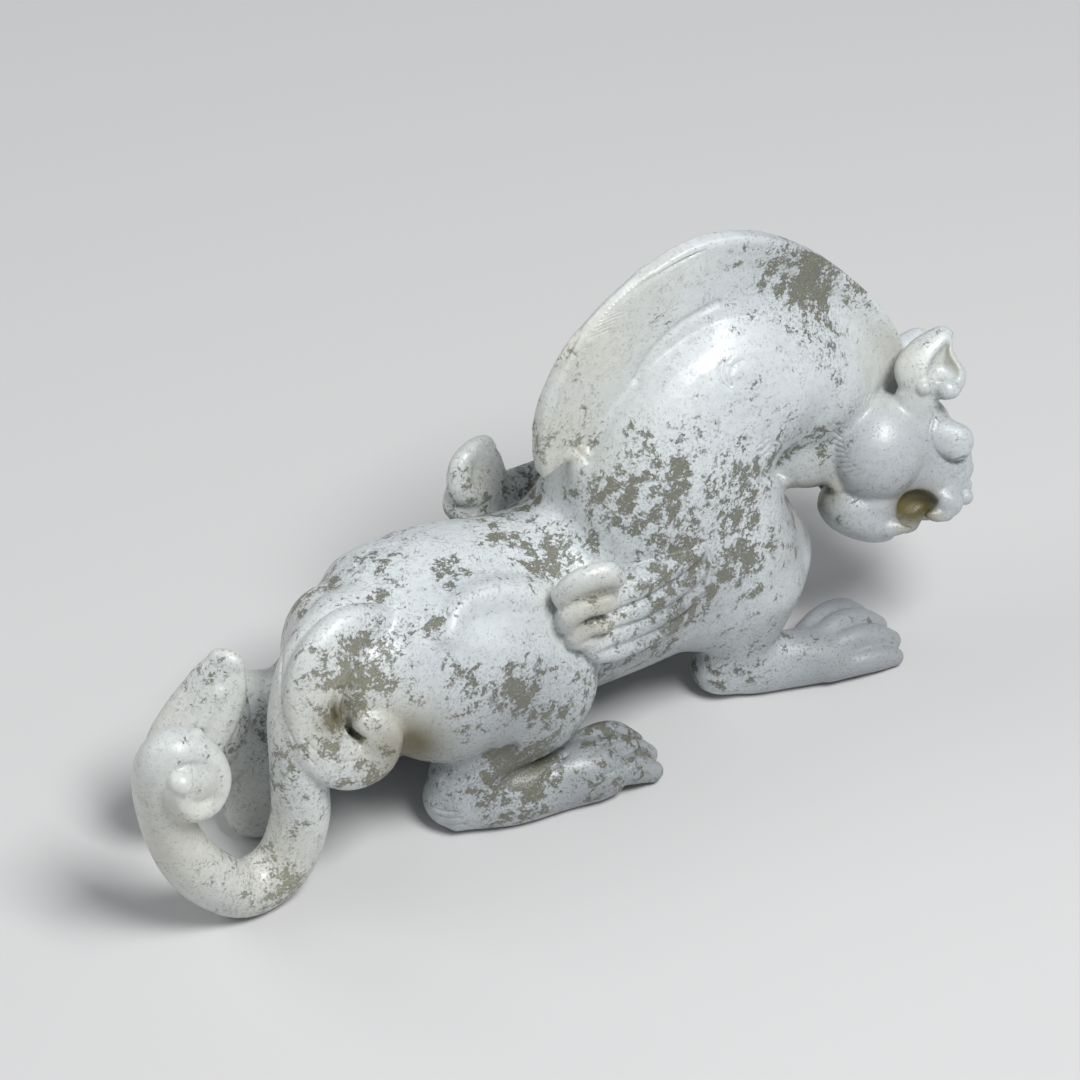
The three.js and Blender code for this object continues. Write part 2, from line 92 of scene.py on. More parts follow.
TORSO = [
    (-29.5, 0.3, 26, 9, 9.5), (-25.5, 0, 25.5, 12, 11.5), (-16, 0, 24.5, 13.5, 12.5),
    (-2, 0, 21.4, 12.5, 12.6), (10, 0, 21, 12.5, 13.4), (20, -0.5, 22, 12.5, 14),
    (26, -1.2, 19.5, 10.5, 11.5), (31.8, -1.9, 13.8, 8, 8.7),
]
NECK = [
    (14, 0, 26, 12, 13), (18.5, 0, 34.5, 11.4, 15.5), (25, 0, 41.5, 10.2, 15.2),
    (31, -0.8, 42, 9, 12.8), (36, -1.6, 39, 6.4, 10.6), (39.4, -2.6, 35, 4.8, 8.6),
]
NECK_WEDGE = [
    (26, -0.4, 51.6, 4.4, 6), (34, -1, 50.2, 4.8, 6), (40.4, -2.4, 44.4, 4, 4.8),
    (44.4, -3.6, 39, 3.2, 4),
]
WITHERS = [(9, -0.6, 36, 4, 5), (6.4, -0.8, 40.4, 2.6, 3.2), (4.6, -0.8, 44.2, 0.8, 1)]
TAIL = [
    (-22, 0, 29, 4.5, 4), (-29.5, -1.5, 33, 4.4, 4), (-35.4, -4, 31.8, 4, 3.8),
    (-39, -6, 27, 3.6, 3.6), (-40, -7.5, 19, 3.6, 3.6), (-40.5, -8, 11, 3.7, 3.7),
    (-43.5, -8, 4.6, 3.7, 3.7), (-48.5, -8, 3.4, 3.7, 3.7), (-53.5, -8, 8, 3.7, 3.6),
    (-57.2, -8.2, 15, 3.5, 3.4),
]

# Coil at the tail's end: the pixel where its middle is seen, y, half width, half thickness

COIL = [
    (155, 786, -8.8, 2.7, 3.2), (159, 760, -9.3, 2.4, 3), (172, 747, -9.7, 2.2, 2.9),
    (190, 746, -10, 2, 2.8), (206, 757, -10.3, 2, 2.8), (213, 776, -10.6, 2, 2.8),
    (206, 796, -10.9, 1.9, 2.7), (190, 805, -11.2, 1.8, 2.6), (175, 799, -11.5, 1.5, 2.5),
    (170, 785, -11.8, 1.2, 2.4), (179, 775, -12.1, 1.1, 2.2),
]
RIGHT_HOOK = [
    (-21, -3, 28, 3.4, 2.2), (-27, -4.8, 33, 3.6, 2.2), (-31.8, -6, 35.4, 3.8, 2.2),
    (-35.3, -7, 34.4, 3.8, 2.2), (-37.6, -7.9, 31.2, 3.7, 2.1), (-38.4, -9, 26.6, 3.5, 2.1),
    (-37.6, -10.3, 22.6, 3.5, 2), (-35, -11.4, 20.3, 3.4, 2), (-32.2, -12, 20.7, 3.1, 1.9),
    (-31, -11.9, 23, 2.8, 1.8), (-31.6, -11.4, 25, 2.2, 1.7), (-32.9, -10.9, 26, 1.4, 1.4),
]
FEATHERS = [
    [(19, -9.8, 30.6, 1.3, 1.6), (12, -11.6, 30.2, 1.7, 1.9), (4, -12.4, 30.2, 1.8, 1.9),
     (-1.5, -12, 31, 1.8, 1.8), (-4, -12, 33, 1.8, 1.6), (-3, -13.4, 35.8, 1.8, 1.5),
     (0.6, -14.6, 36.2, 1.7, 1.3), (1.6, -14.8, 35.2, 1.3, 1.1)],
    [(18, -10.6, 27.5, 1.2, 1.6), (12, -12.4, 27.4, 1.6, 1.9), (4, -13, 27.4, 1.7, 1.9),
     (-2, -12.6, 28.2, 1.7, 1.8), (-4.4, -12.8, 30, 1.7, 1.6), (-3, -14, 32, 1.5, 1.4),
     (0.2, -14.9, 32, 1.3, 1.1)],
    [(17, -11, 24.6, 1.2, 1.6), (11, -12.7, 24.6, 1.6, 1.9), (4, -13.2, 24.8, 1.7, 1.9),
     (-1.2, -13, 25.6, 1.7, 1.8), (-3.4, -13.2, 27.2, 1.6, 1.5), (-1.8, -14.2, 28.8, 1.3, 1.3),
     (0.2, -14.8, 28.4, 1.1, 1)],
    [(16, -11, 21.8, 1.2, 1.6), (10, -12.6, 22, 1.6, 1.9), (4.4, -13.2, 22.2, 1.7, 1.9),
     (0, -13.2, 23, 1.7, 1.8), (-1.2, -13.5, 24.6, 1.4, 1.5), (0.6, -14.2, 25.4, 1.1, 1.1)],
]

# Toes of the right feet, from the inner to the outer: x, y outwards, z, half width, half thickness

HIND_TOES = [
    [(-4, 11.4, 4.4, 1.8, 2.2), (0, 10.8, 4.8, 1.9, 2.4), (4, 10.6, 3.9, 1.9, 2.3),
     (6.4, 11.4, 2.2, 1.6, 1.8)],
    [(-3.5, 13.2, 4.2, 1.7, 2.2), (0.8, 13.4, 4.6, 1.8, 2.3), (4.6, 13.6, 3.7, 1.8, 2.1),
     (6.8, 14.2, 2.1, 1.5, 1.7)],
    [(-3, 15, 3.2, 1.6, 2), (1, 15.8, 3.5, 1.7, 2.1), (4, 16.4, 2.9, 1.7, 2),
     (6.2, 16.8, 1.7, 1.3, 1.5)],
]
FRONT_TOES = [
    [(35, 9, 4, 1.8, 2.1), (39, 7.6, 4.2, 1.9, 2.3), (43, 6.9, 3.4, 1.9, 2.1),
     (45, 7.2, 2.2, 1.6, 1.7)],
    [(35, 11, 4.2, 1.8, 2.1), (40, 10, 4.5, 1.9, 2.3), (44, 10, 3.4, 1.9, 2.1),
     (46, 10.4, 2.1, 1.5, 1.7)],
    [(35.5, 12.6, 3.7, 1.7, 2), (40, 12.6, 4, 1.8, 2.1), (44, 13, 3.1, 1.8, 2),
     (46, 13.6, 2, 1.4, 1.6)],
    [(36, 14, 2.2, 1.5, 1.7), (40, 14.8, 2.2, 1.7, 1.8), (43.4, 15.4, 1.8, 1.6, 1.7),
     (45.2, 15.8, 1.3, 1.2, 1.3)],
]

# Balls of the body: the middle, the half sizes and, where it leans, the turn in degrees

CHEST = ((27.4, -3.6, 29.5), (4.2, 6, 8.5))
THROAT = ((38.6, -4.6, 30.4), (5.4, 4, 3.2))
RUMP = ((-29, -6.4, 26), (6.6, 5.4, 8.6))
LEFT_TAIL_ROOT = ((-44.5, 5.5, 17), (4.5, 3, 7.5), (0, 20, 0))
WING_BACKING = ((6.5, -11.4, 25.3), (10, 2.5, 6.5), (0, -8, 0))

# The coil's disc and knob: the pixel where the middle is seen, y, and the half sizes

COIL_DISC = ((189, 776, -10.8), (4, 2.7, 4.2))
COIL_KNOB = ((180.5, 783, -13.2), (1.5, 1.6, 1.5))

# Crest: root x, root z, rim x, rim z, y, half thickness at the root

CREST = [
    (9, 46, -0.1, 42.2, 0, 1.2), (11, 47.5, -0.7, 46.5, 0, 1.2), (13, 48.5, 0.3, 53.6, 0, 1.2),
    (16, 49, 5.6, 61.4, 0, 1.3), (21, 50, 14, 66.9, 0, 1.5), (27, 50, 22.4, 68.9, 0, 2.2),
    (32, 48, 30.6, 67.2, -0.5, 3.4), (37, 45, 38.6, 61.9, -1, 4.2), (40, 41, 45.3, 55, -1.8, 4.2),
    (43, 36, 50.3, 48, -2.5, 3.8), (45, 31, 53, 41, -3.4, 3.4), (45, 27, 53, 34, -4, 3.4),
]

# The blade's half thickness, the width of its bevel and its thin band, and their shares of it

CREST_HALF = 1.15
CREST_BEVEL = 0.7
CREST_BAND = 5
RIM_SHARE = 0.75
BAND_SHARE = 0.95
CREST_ROWS = 120

# Head: place of the middle of the skull and the turns that set it, in degrees

HEAD_PLACE = (45.9, -6.2, 29.9)
HEAD_YAW = -32.7
HEAD_DOWN = 13.2
HEAD_ROLL = -40.0

# Outlines of the head's side, x forward and z up from the middle of the skull

HEAD_PROFILE = [
    (-6.4, -1), (-5.8, 2.2), (-4.2, 4.8), (-1.5, 7.2), (2, 8.2), (6, 8.4), (8.5, 7.6),
    (10.2, 5.4), (11.4, 3.4), (12.4, 1.2), (13, -0.8), (13.6, -2.8), (13.8, -4.6),
    (13, -6.4), (11.2, -7.3), (8.6, -7.4), (6, -8), (2, -7.8), (-2.4, -7), (-4.6, -5.4), (-6, -3.4),
]
JAW_PROFILE = [
    (-4.6, -6), (-4.9, -8), (-4.1, -9.6), (-2.2, -11), (0.9, -11.8), (3.6, -11.7), (5.4, -10.8),
    (5.6, -9.2), (4.6, -7.9), (2, -6.6), (-1, -5), (-3, -4.6),
]
MOUTH_PROFILE = [
    (4.5, -6.2), (5.2, -4.8), (6.7, -4.1), (8.4, -4.2), (9.6, -5.1), (9.2, -6.3), (8.2, -7.2),
    (7.6, -8.6), (6.2, -9.2), (4.8, -8.2),
]

# The mouth's inner wall against its outline, and the middle of its opening on each side

MOUTH_FLOOR = 1.08
MOUTH_MIDDLES = [(6.9, -2.6, -6.2), (6.9, 2.6, -6.2)]

# Cheek ridge behind each eye: x, y outwards, z, half width, half thickness

CHEEK_RIDGE = [
    (-1.9, 4.4, 7.0, 0.6, 0.6), (-4.1, 5.0, 5.0, 0.8, 0.9), (-5.5, 5.0, 2.6, 0.9, 1),
    (-6.2, 4.6, 0.2, 0.9, 1), (-6.1, 4.2, -2.2, 0.9, 1), (-5.2, 3.8, -4.2, 0.8, 0.9),
    (-3.6, 3.4, -5.8, 0.6, 0.7),
]

# Outlines of an ear, its hollow and a brow pad, x forward and z up from the middle of the skull

EAR_PROFILE = [
    (5.6, 16.9), (7, 16.4), (7.3, 14.5), (8.4, 13), (9.5, 11.9), (9.8, 10.4), (9.1, 8.5),
    (7.6, 7.6), (6.2, 7.9), (4.6, 7.4), (3.2, 7.3), (1.9, 7.8), (0.9, 9), (0.4, 10.7),
    (0.9, 12.6), (2.2, 14.5), (3.8, 15.9),
]
EAR_CUP = [
    (6.4, 15.4), (6.9, 13.6), (8.3, 12), (8.7, 10.6), (7.4, 9.8), (5.6, 9.7), (4.3, 9.9),
    (4.2, 11.4), (5, 13.4),
]
BROW_PROFILE = [
    (7.4, 3.7), (7.7, 2.4), (8.5, 1.2), (9.7, 0.4), (11, 0.3), (12.1, 1), (12.7, 2.2), (12.6, 3.6),
    (11.8, 4.7), (10.4, 5.2), (8.6, 5),
]

# Rods of the head: x, y outwards, z, half width, half thickness

UPPER_FANG = [(11.2, 3.2, -6.5, 1, 0.9), (9.4, 3.6, -6.9, 0.9, 0.9), (7.6, 3.5, -6.3, 0.4, 0.4)]
LOWER_FANG = [(4, 2.8, -9.6, 1.3, 1.2), (6.2, 3.3, -8.8, 0.9, 0.8), (7.4, 3.4, -7.4, 0.35, 0.35)]
EAR_ROOT = [(3.6, 4.4, 4, 2.6, 2), (4.2, 5.6, 7.4, 3, 2), (4.6, 6.4, 9.4, 2.6, 1.6)]
MUZZLE = [(5, 0, 0.5, 5.4, 6), (9.4, 0, -0.6, 4.6, 5.4), (11.4, 0, -2.2, 3.6, 4)]

# Outline of the left tail lobe and its band as the camera sees them, in the photograph's pixels,
# with the band's half width, and the side distances at which they lie

LEFT_LOBE = [
    (236, 672), (252, 671), (268, 668), (290, 650), (330, 690), (330, 750), (290, 764), (256, 768),
    (232, 782), (206, 784), (196, 750), (208, 706),
]
LEFT_LOBE_MIDDLE = (250, 720)
LEFT_LOBE_Y = 7.0
LEFT_BAND = [
    (226, 663, 2.4), (221, 677, 3.4), (213, 696, 4.1), (198, 722, 4.6), (182, 750, 4.7),
    (176, 780, 4.6),
]
LEFT_BAND_Y = 4.8
BAND_FLATNESS = 0.55

# Outline of the paddle at the wing's end, x forward and up its lean, from the paddle's place

PADDLE_PLACE = (0, -11.4, 28)
PADDLE_LEAN = (0, -0.3, 0.95)
PADDLE = [
    (7, -6), (0, -7), (-3.3, -4.3), (-4.8, -1), (-5.2, 1.7), (-4.6, 4.3), (-3.4, 7.4), (-1, 9.7),
    (0.8, 9.9), (2.4, 8), (2.9, 5.3), (3.6, 1.5), (9, -2),
]

# Outline of the right thigh, x forward and z up

RIGHT_HAUNCH = [
    (-30, 23), (-28, 30), (-24, 34.5), (-18, 36.6), (-11, 35.4), (-5, 31.5), (-1.2, 26.5), (0.2, 20.5),
    (-0.8, 15.5), (-4.5, 11.5), (-10, 9.8), (-16, 10.2), (-22, 12), (-26.5, 15.5), (-29.3, 19),
]

# Cut lines on the side that the camera sees, in the photograph's pixels. Each line has its half
# width and its depth in millimetres, and a depth below nought raises a ridge.

PIXELS_PER_MM = 8.0
LINE_STEPS = 20
FINE_LINE = 0.35
FINE_MARGIN = 0.35

# What the camera sees: cells of pixels, how far behind a cell's nearest point, and the least facing

NEAR_CELL = 4
NEAR_COUNT = IMAGE_SIZE // NEAR_CELL
NEAR_DEPTH = 2.5
LEAST_FACING = 0.12

NECK_AND_CREST_LINES = [
    (0.2, 0.14, [(725, 358), (719, 369), (722, 382), (731, 390)]),
    (0.2, 0.14, [(731, 357), (725, 366), (725, 377), (731, 387)]),
    (0.2, 0.14, [(743, 360), (734, 366), (730, 377), (732, 386)]),
    (0.7, 0.35, [(636, 380), (650, 355), (674, 330), (702, 312), (718, 303)]),
    (0.6, -0.22, [(543, 437), (560, 387), (590, 324), (612, 298), (634, 282), (650, 272)]),
    (0.3, 0.12, [(759, 446), (763, 443), (767, 439)]),
    (0.3, 0.12, [(761, 451), (766, 447), (771, 442)]),
    (0.3, 0.12, [(764, 456), (769, 452), (773, 447)]),
    (0.4, 0.35, [(933, 420), (930, 432), (934, 448), (942, 458), (954, 462), (965, 458)]),
]
HAUNCH_LINES = [
    (3.8, 1.0, [(484, 620), (510, 620), (538, 632)]),
    (2.6, -0.8, [(450, 634), (458, 612), (476, 598), (508, 591), (538, 592)]),
    (1.0, 0.45, [(446, 782), (480, 772), (514, 748)]),
    (0.5, 0.25, [(538, 792), (548, 772), (567, 755)]),
    (0.22, 0.12, [(430, 806), (443, 811), (458, 812)]),
    (0.22, 0.12, [(433, 814), (446, 818), (461, 818)]),
    (0.22, 0.12, [(440, 822), (452, 825), (465, 824)]),
    (0.3, 0.14, [(356, 566), (362, 556), (374, 549), (386, 545), (398, 546), (404, 556), (402, 572),
                 (392, 582), (378, 578), (364, 574), (357, 567)]),
    (0.4, 0.25, [(590, 755), (600, 747), (617, 740), (633, 737), (647, 738)]),
    (0.4, 0.25, [(606, 775), (623, 767), (637, 762), (653, 761)]),
]
TAIL_LINES = [
    (0.6, 0.8, [(341, 690), (336, 698), (335, 713), (341, 728), (350, 732)]),
    (0.3, 0.12, [(304, 740), (322, 756), (342, 762), (360, 760)]),
    (1.3, -0.5, [(218, 694), (210, 710), (200, 728)]),
    (0.25, 0.15, [(284, 640), (281, 680), (284, 716), (296, 744), (314, 764)]),
]
FRONT_LINES = [
    (0.22, 0.12, [(706, 668), (714, 664), (722, 658)]),
    (0.22, 0.12, [(710, 674), (719, 670), (728, 664)]),
    (0.22, 0.12, [(716, 680), (726, 676), (735, 670)]),
    (0.6, 0.4, [(577, 450), (582, 455), (587, 460)]),
    (0.25, 0.16, [(655, 580), (628, 588), (600, 598)]),
    (0.25, 0.16, [(648, 598), (628, 605), (607, 615)]),
    (0.25, 0.16, [(670, 613), (643, 620), (615, 628)]),
]

# Hatching inside the crest's rim, and hair around the cheek: a run of angles, outer, inner reach

HATCH_CUT = (0.18, 0.1)
HATCH_START = [(590, 338), (604, 316), (622, 298), (644, 282), (668, 268), (684, 259)]
HATCH_COUNT = 26
HATCH_STEP = (21, -9)
HAIR_CUT = (0.2, 0.12)
HAIR_LEAN = 4
CHEEK_MIDDLE = (880, 438)
CHEEK_HAIR = [(range(172, 240, 8), 47, 38), (range(98, 128, 6), 45, 37)]

# Zones of the stone's look and of painted shade, on the right side and, turned over, on the left: x, y, z,
# radius, weight

PATCH_PLACES = [
    (19, -10, 33, 15, 0.8), (13, -8, 39, 11, 0.7), (10, -13, 26, 11, 0.8), (28, -9, 24, 8, 0.5),
    (40, -1, 56, 9, 0.85), (34, -1, 61, 7, 0.7), (-2, -4, 34, 11, 0.6),
    (-3, -13, 16, 9, 0.85), (-12, -12, 7, 10, 0.95), (-20, -12, 16, 9, 0.6), (-14, -14, 25, 10, 0.55),
    (-33, -10, 33, 8, 0.85), (-27, -6, 36, 9, 0.7), (-40, -9, 20, 10, 0.55), (-48, -9, 4, 10, 0.5),
    (24, -8, 8, 9, 0.5),
    (0, 0, 47, 7, 0.6), (-16, -2, 36, 10, 0.4), (0, -14, 4, 9, 0.6), (22, -7, 44, 10, 0.3),
]
CREAM_PLACES = [
    (-58, -10, 20, 16, 1.0), (-46, -9, 6, 12, 0.9), (-38, -9, 28, 10, 0.8), (-45, 5, 22, 12, 0.8),
    (-31, -11, 24, 7, 0.9), (0, 0, 48, 9, 0.9), (6, 0, 60, 10, 0.8), (14, 0, 66, 8, 0.5),
    (50, -6, 43, 7, 0.7), (-2, -14, 33, 5, 1.0), (-2, -14, 29, 4, 0.9), (2, 10, 42, 6, 0.6),
]
# Grey zone: partly the stone's own grey tone, partly painted shade that darkens the feet, belly and lower
# flanks
GREY_AND_SHADE_PLACES = [
    (48, -8, 27, 13, 1.1), (42, -11, 5, 14, 1.5), (2, -14, 4, 14, 1.4), (30, -10, 10, 10, 0.8),
    (34, -6, 22, 11, 0.8), (-12, -14, 17, 11, 0.9), (-16, -12, 8, 10, 0.8), (12, -13, 24, 10, 0.8),
    (8, -6, 12, 14, 1.0), (-46, -8, 4, 10, 0.5), (36, -4, 60, 10, 0.4), (-24, -8, 12, 10, 0.8),
]
# Amber stains on the haunch and the wing tips, and painted shade in the tail hook's gap and under the throat
AMBER_AND_SHADE_PLACES = [
    (-27.6, -10.6, 19.5, 5.5, 1.4), (-30, -12, 22, 3.5, 0.9), (-36, -10.3, 28, 2.6, 1.0),
    (-1, -15.4, 34, 3.0, 0.45), (-2.5, -15, 30.5, 2.4, 0.4), (38, -5, 27.5, 5, 0.9),
]
MOUTH_AMBER = (2.6, 1.8)
THIN_DEPTH = 1.6

# Colours of the stone, some also used for painted shade and for painted light through thin edges

WHITE_SKIN = (0.72, 0.76, 0.77, 1)
BLUE_SKIN = (0.60, 0.655, 0.69, 1)
# Grey of the stone, also used as painted shade on the feet and lower parts
GREY_AND_SHADE_SKIN = (0.29, 0.31, 0.335, 1)
CREAM_SKIN = (0.67, 0.66, 0.58, 1)
VEILED_SKIN = (0.30, 0.315, 0.30, 1)
BARE_STONE = (0.14, 0.14, 0.095, 1)
BARE_CREAM = (0.33, 0.32, 0.22, 1)
# Pale yellow of painted light shining through the thin rims and tips
THIN_EDGE_GLOW = (0.56, 0.52, 0.34, 1)
# Brown amber, for stains and for painted shade in the hook's gap and under the throat
AMBER_AND_SHADE_STONE = (0.12, 0.10, 0.035, 1)


def unit(vectors):
    """Each vector divided by its own length."""
    return vectors / np.maximum(np.linalg.norm(vectors, axis=-1, keepdims=True), 1e-9)


def smooth_curve(points, count):
    """A centripetal Catmull-Rom curve through the points, as count rows evenly spaced in its
    parameter: on each span a cubic whose end slopes are the mean chords, weighed by the square
    root of each chord's length in space."""
    points = np.asarray(points, float)
    first = 2 * points[0] - points[1]
    last = 2 * points[-1] - points[-2]
    knots = np.vstack([first, points, last])
    place = np.linspace(0, len(points) - 1, count)
    span = np.minimum(place.astype(int), len(points) - 2)
    share = (place - span)[:, None]
    before, start, end, after = (knots[span + k] for k in range(4))
    gap = [np.sqrt(np.linalg.norm((b - a)[:, :3], axis=1, keepdims=True)) + 1e-6
           for a, b in ((before, start), (start, end), (end, after))]
    slope_in = ((start - before) / gap[0] - (end - before) / (gap[0] + gap[1])
                + (end - start) / gap[1]) * gap[1]
    slope_out = ((end - start) / gap[1] - (after - start) / (gap[1] + gap[2])
                 + (after - end) / gap[2]) * gap[1]
    square = share ** 2
    cube = share ** 3
    return ((2 * cube - 3 * square + 1) * start + (cube - 2 * square + share) * slope_in
            + (3 * square - 2 * cube) * end + (cube - square) * slope_out)


def tube_faces(rows, sides):
    """Quads between neighbouring rings of a tube, and a fan at each end."""
    ring, around = np.meshgrid(np.arange(rows - 1), np.arange(sides), indexing="ij")
    low = ring * sides + around
    high = ring * sides + (around + 1) % sides
    quads = np.stack([low, high, high + sides, low + sides], -1).reshape(-1, 4)
    base = rows * sides
    step = np.arange(sides)
    after = (step + 1) % sides
    foot = np.stack([np.full(sides, base), after, step], 1)
    top = (rows - 1) * sides
    head = np.stack([np.full(sides, base + 1), top + step, top + after], 1)
    return quads, np.vstack([foot, head])


def tube(rings):
    """A closed tube through the rings, capped with a point in the middle of each end ring."""
    rows, sides, _ = rings.shape
    points = np.vstack([rings.reshape(-1, 3), rings[0].mean(0), rings[-1].mean(0)])
    quads, triangles = tube_faces(rows, sides)
    return points, quads, triangles


def rod(stations, face=(0, 0, 1), sides=32, blunt=1.0, square=2.0):
    """An ellipse carried along a smooth curve through the stations: point = centre + side * width
    * cos(a) + out * thickness * sin(a). The out direction is the face direction with its part
    along the path taken away. Past each end the ellipse shrinks as a quarter circle. A square
    above 2 fills the ellipse's corners, for ribbons."""
    stations = np.asarray(stations, float)
    length = np.linalg.norm(np.diff(stations[:, :3], axis=0), axis=1).sum()
    count = max(int(length / ROD_ROW), 3 * len(stations))
    row = smooth_curve(stations, count)
    path = row[:, :3]
    tangent = unit(np.gradient(path, axis=0))
    reach = row[:, 3:].mean(1)
    rise, fall = END_ANGLES, END_ANGLES[::-1]
    head = path[0] - tangent[0] * (blunt * reach[0] * np.cos(rise))[:, None]
    foot = path[-1] + tangent[-1] * (blunt * reach[-1] * np.cos(fall))[:, None]
    centre = np.vstack([head, path, foot])
    size = np.vstack([
        row[0, 3:] * np.sin(rise)[:, None], row[:, 3:], row[-1, 3:] * np.sin(fall)[:, None],
    ])
    tangent = np.vstack([
        np.tile(tangent[0], (END_RINGS, 1)), tangent, np.tile(tangent[-1], (END_RINGS, 1)),
    ])
    face = np.asarray(face, float)
    out = unit(face - tangent * (tangent @ face)[:, None])
    side = np.cross(out, tangent)
    angle = np.arange(sides) / sides * 2 * np.pi
    across = np.sign(np.cos(angle)) * np.abs(np.cos(angle)) ** (2 / square)
    deep = np.sign(np.sin(angle)) * np.abs(np.sin(angle)) ** (2 / square)
    rings = (centre[:, None] + side[:, None] * (size[:, :1] * across)[..., None]
             + out[:, None] * (size[:, 1:] * deep)[..., None])
    return tube(rings)


def closed_curve(points, count):
    """A smooth closed curve through the points, evenly spaced in its parameter."""
    points = np.asarray(points, float)
    total = len(points)
    around = np.vstack([points, points, points[:1]])
    fine = smooth_curve(around, 2 * total * OUTLINE_STEPS + 1)
    once = fine[total * OUTLINE_STEPS // 2:total * OUTLINE_STEPS * 3 // 2]
    pick = np.linspace(0, len(once), count, endpoint=False).astype(int)
    return once[pick]


def pillow(outline, origin, across, up, thick, power=2.0, count=72):
    """A ball whose rim is a free closed outline: point = middle + cos(r) * (rim - middle)
    + normal * thickness * sin(r), with r from one face to the other. A power above 2 makes the
    faces flatter and the edge rounder."""
    rim2 = closed_curve(outline, count)
    middle = rim2.mean(0)
    across, up = unit(np.asarray(across, float)), unit(np.asarray(up, float))
    normal = np.cross(across, up)
    front, back = (thick, thick) if np.isscalar(thick) else thick
    shrink = np.cos(PILLOW_ANGLES) ** (2 / power)
    height = np.sign(PILLOW_ANGLES) * np.abs(np.sin(PILLOW_ANGLES)) ** (2 / power)
    height = np.where(PILLOW_ANGLES > 0, height * front, height * back)
    flat = middle + shrink[:, None, None] * (rim2 - middle)
    rings = (np.asarray(origin, float) + flat[..., :1] * across + flat[..., 1:] * up
             + height[:, None, None] * normal)
    if area(rim2) < 0:
        rings = rings[:, ::-1]
    return tube(rings)


def area(outline):
    """The signed area inside a closed outline, positive when it runs anticlockwise."""
    after = np.roll(outline, -1, 0)
    return float((outline[:, 0] * after[:, 1] - after[:, 0] * outline[:, 1]).sum()) / 2


def sight(u, v, y):
    """The point of the plane at side distance y that the camera sees at a pixel (u, v)."""
    ray = -VIEW_BACK + VIEW_RIGHT * (u - IMAGE_MIDDLE) / FOCAL + VIEW_UP * (IMAGE_MIDDLE - v) / FOCAL
    return VIEW_PLACE + ray * (y - VIEW_PLACE[1]) / ray[1]


def seen_at(points):
    """The pixels (u, v) at which the camera sees the points."""
    away = points - VIEW_PLACE
    depth = away @ -VIEW_BACK
    return np.stack([
        IMAGE_MIDDLE + FOCAL * (away @ VIEW_RIGHT) / depth,
        IMAGE_MIDDLE - FOCAL * (away @ VIEW_UP) / depth,
    ], 1)


def hatch_lines():
    """Short cuts side by side along the crest, just inside its rim."""
    starts = smooth_curve(HATCH_START, HATCH_COUNT)
    halfway = np.divide(HATCH_STEP, 2)
    return [(*HATCH_CUT, [start, start + halfway, start + HATCH_STEP]) for start in starts]


def hair_lines():
    """Short cuts around the cheek: each leans as it runs from an outer to an inner circle."""
    lines = []
    for angles, outer, inner in CHEEK_HAIR:
        for angle in angles:
            lean = np.radians([angle, angle + HAIR_LEAN, angle + 2 * HAIR_LEAN])
            reach = np.array([outer, (outer + inner) / 2, inner])
            ring = np.stack([np.cos(lean) * reach, -np.sin(lean) * reach], 1)
            lines.append((*HAIR_CUT, CHEEK_MIDDLE + ring))
    return lines


def line_depth(points, normals, lines, side=1):
    """How deep the lines press each point: depth * (1 - (d / half width) ** 2) ** 2, with d the
    seen distance to the line. It counts only for what the camera sees, or with side -1 for its
    mirror image."""
    seen = points * (1, side, 1)
    facing = (normals * (1, side, 1)) @ VIEW_BACK
    pixel = seen_at(seen)
    away = (VIEW_PLACE - seen) @ VIEW_BACK
    cell = np.clip(pixel // NEAR_CELL, 0, NEAR_COUNT - 1).astype(int)
    cell = cell[:, 0] * NEAR_COUNT + cell[:, 1]
    nearest = np.full(NEAR_COUNT ** 2, np.inf)
    np.minimum.at(nearest, cell, away)
    open_to_view = (facing > LEAST_FACING) & (away < nearest[cell] + NEAR_DEPTH)
    push = np.zeros(len(points))
    for half, depth, line in lines:
        path = smooth_curve(line, LINE_STEPS * len(line))
        reach = half * PIXELS_PER_MM
        inside = (pixel > path.min(0) - reach).all(1) & (pixel < path.max(0) + reach).all(1)
        near = np.flatnonzero(inside & open_to_view)
        gap = np.linalg.norm(pixel[near][:, None] - path, axis=2).min(1) / reach
        push[near] += depth * np.maximum(1 - gap ** 2, 0) ** 2
    return push


def turned(angles):
    """The matrix that turns by x, then y, then z, in degrees."""
    about_x, about_y, about_z = (
        Matrix.Rotation(math.radians(angle), 3, axis) for angle, axis in zip(angles, "XYZ"))
    return np.array(about_z @ about_y @ about_x)


def ball(centre, half, turn=(0, 0, 0), sides=40):
    """An ellipsoid: centre + turn * (half sizes * the unit sphere), as rings from pole to pole."""
    rise = np.radians(np.linspace(-88, 88, sides // 2))
    angle = np.arange(sides) / sides * 2 * np.pi
    sphere = np.stack([
        np.cos(rise)[:, None] * np.cos(angle),
        np.cos(rise)[:, None] * np.sin(angle),
        np.repeat(np.sin(rise)[:, None], sides, 1),
    ], -1)
    rings = (sphere * np.asarray(half, float)) @ turned(turn).T + np.asarray(centre, float)
    return tube(rings)


def moved(solid, matrix, place):
    """The solid with each point turned by the matrix and shifted to the place."""
    return (solid[0] @ np.asarray(matrix).T + np.asarray(place, float), *solid[1:])


def mirrored(solid):
    """The solid's mirror image in the beast's middle plane, with its faces turned round."""
    return solid[0] * (1, -1, 1), solid[1][:, ::-1], solid[2][:, ::-1]


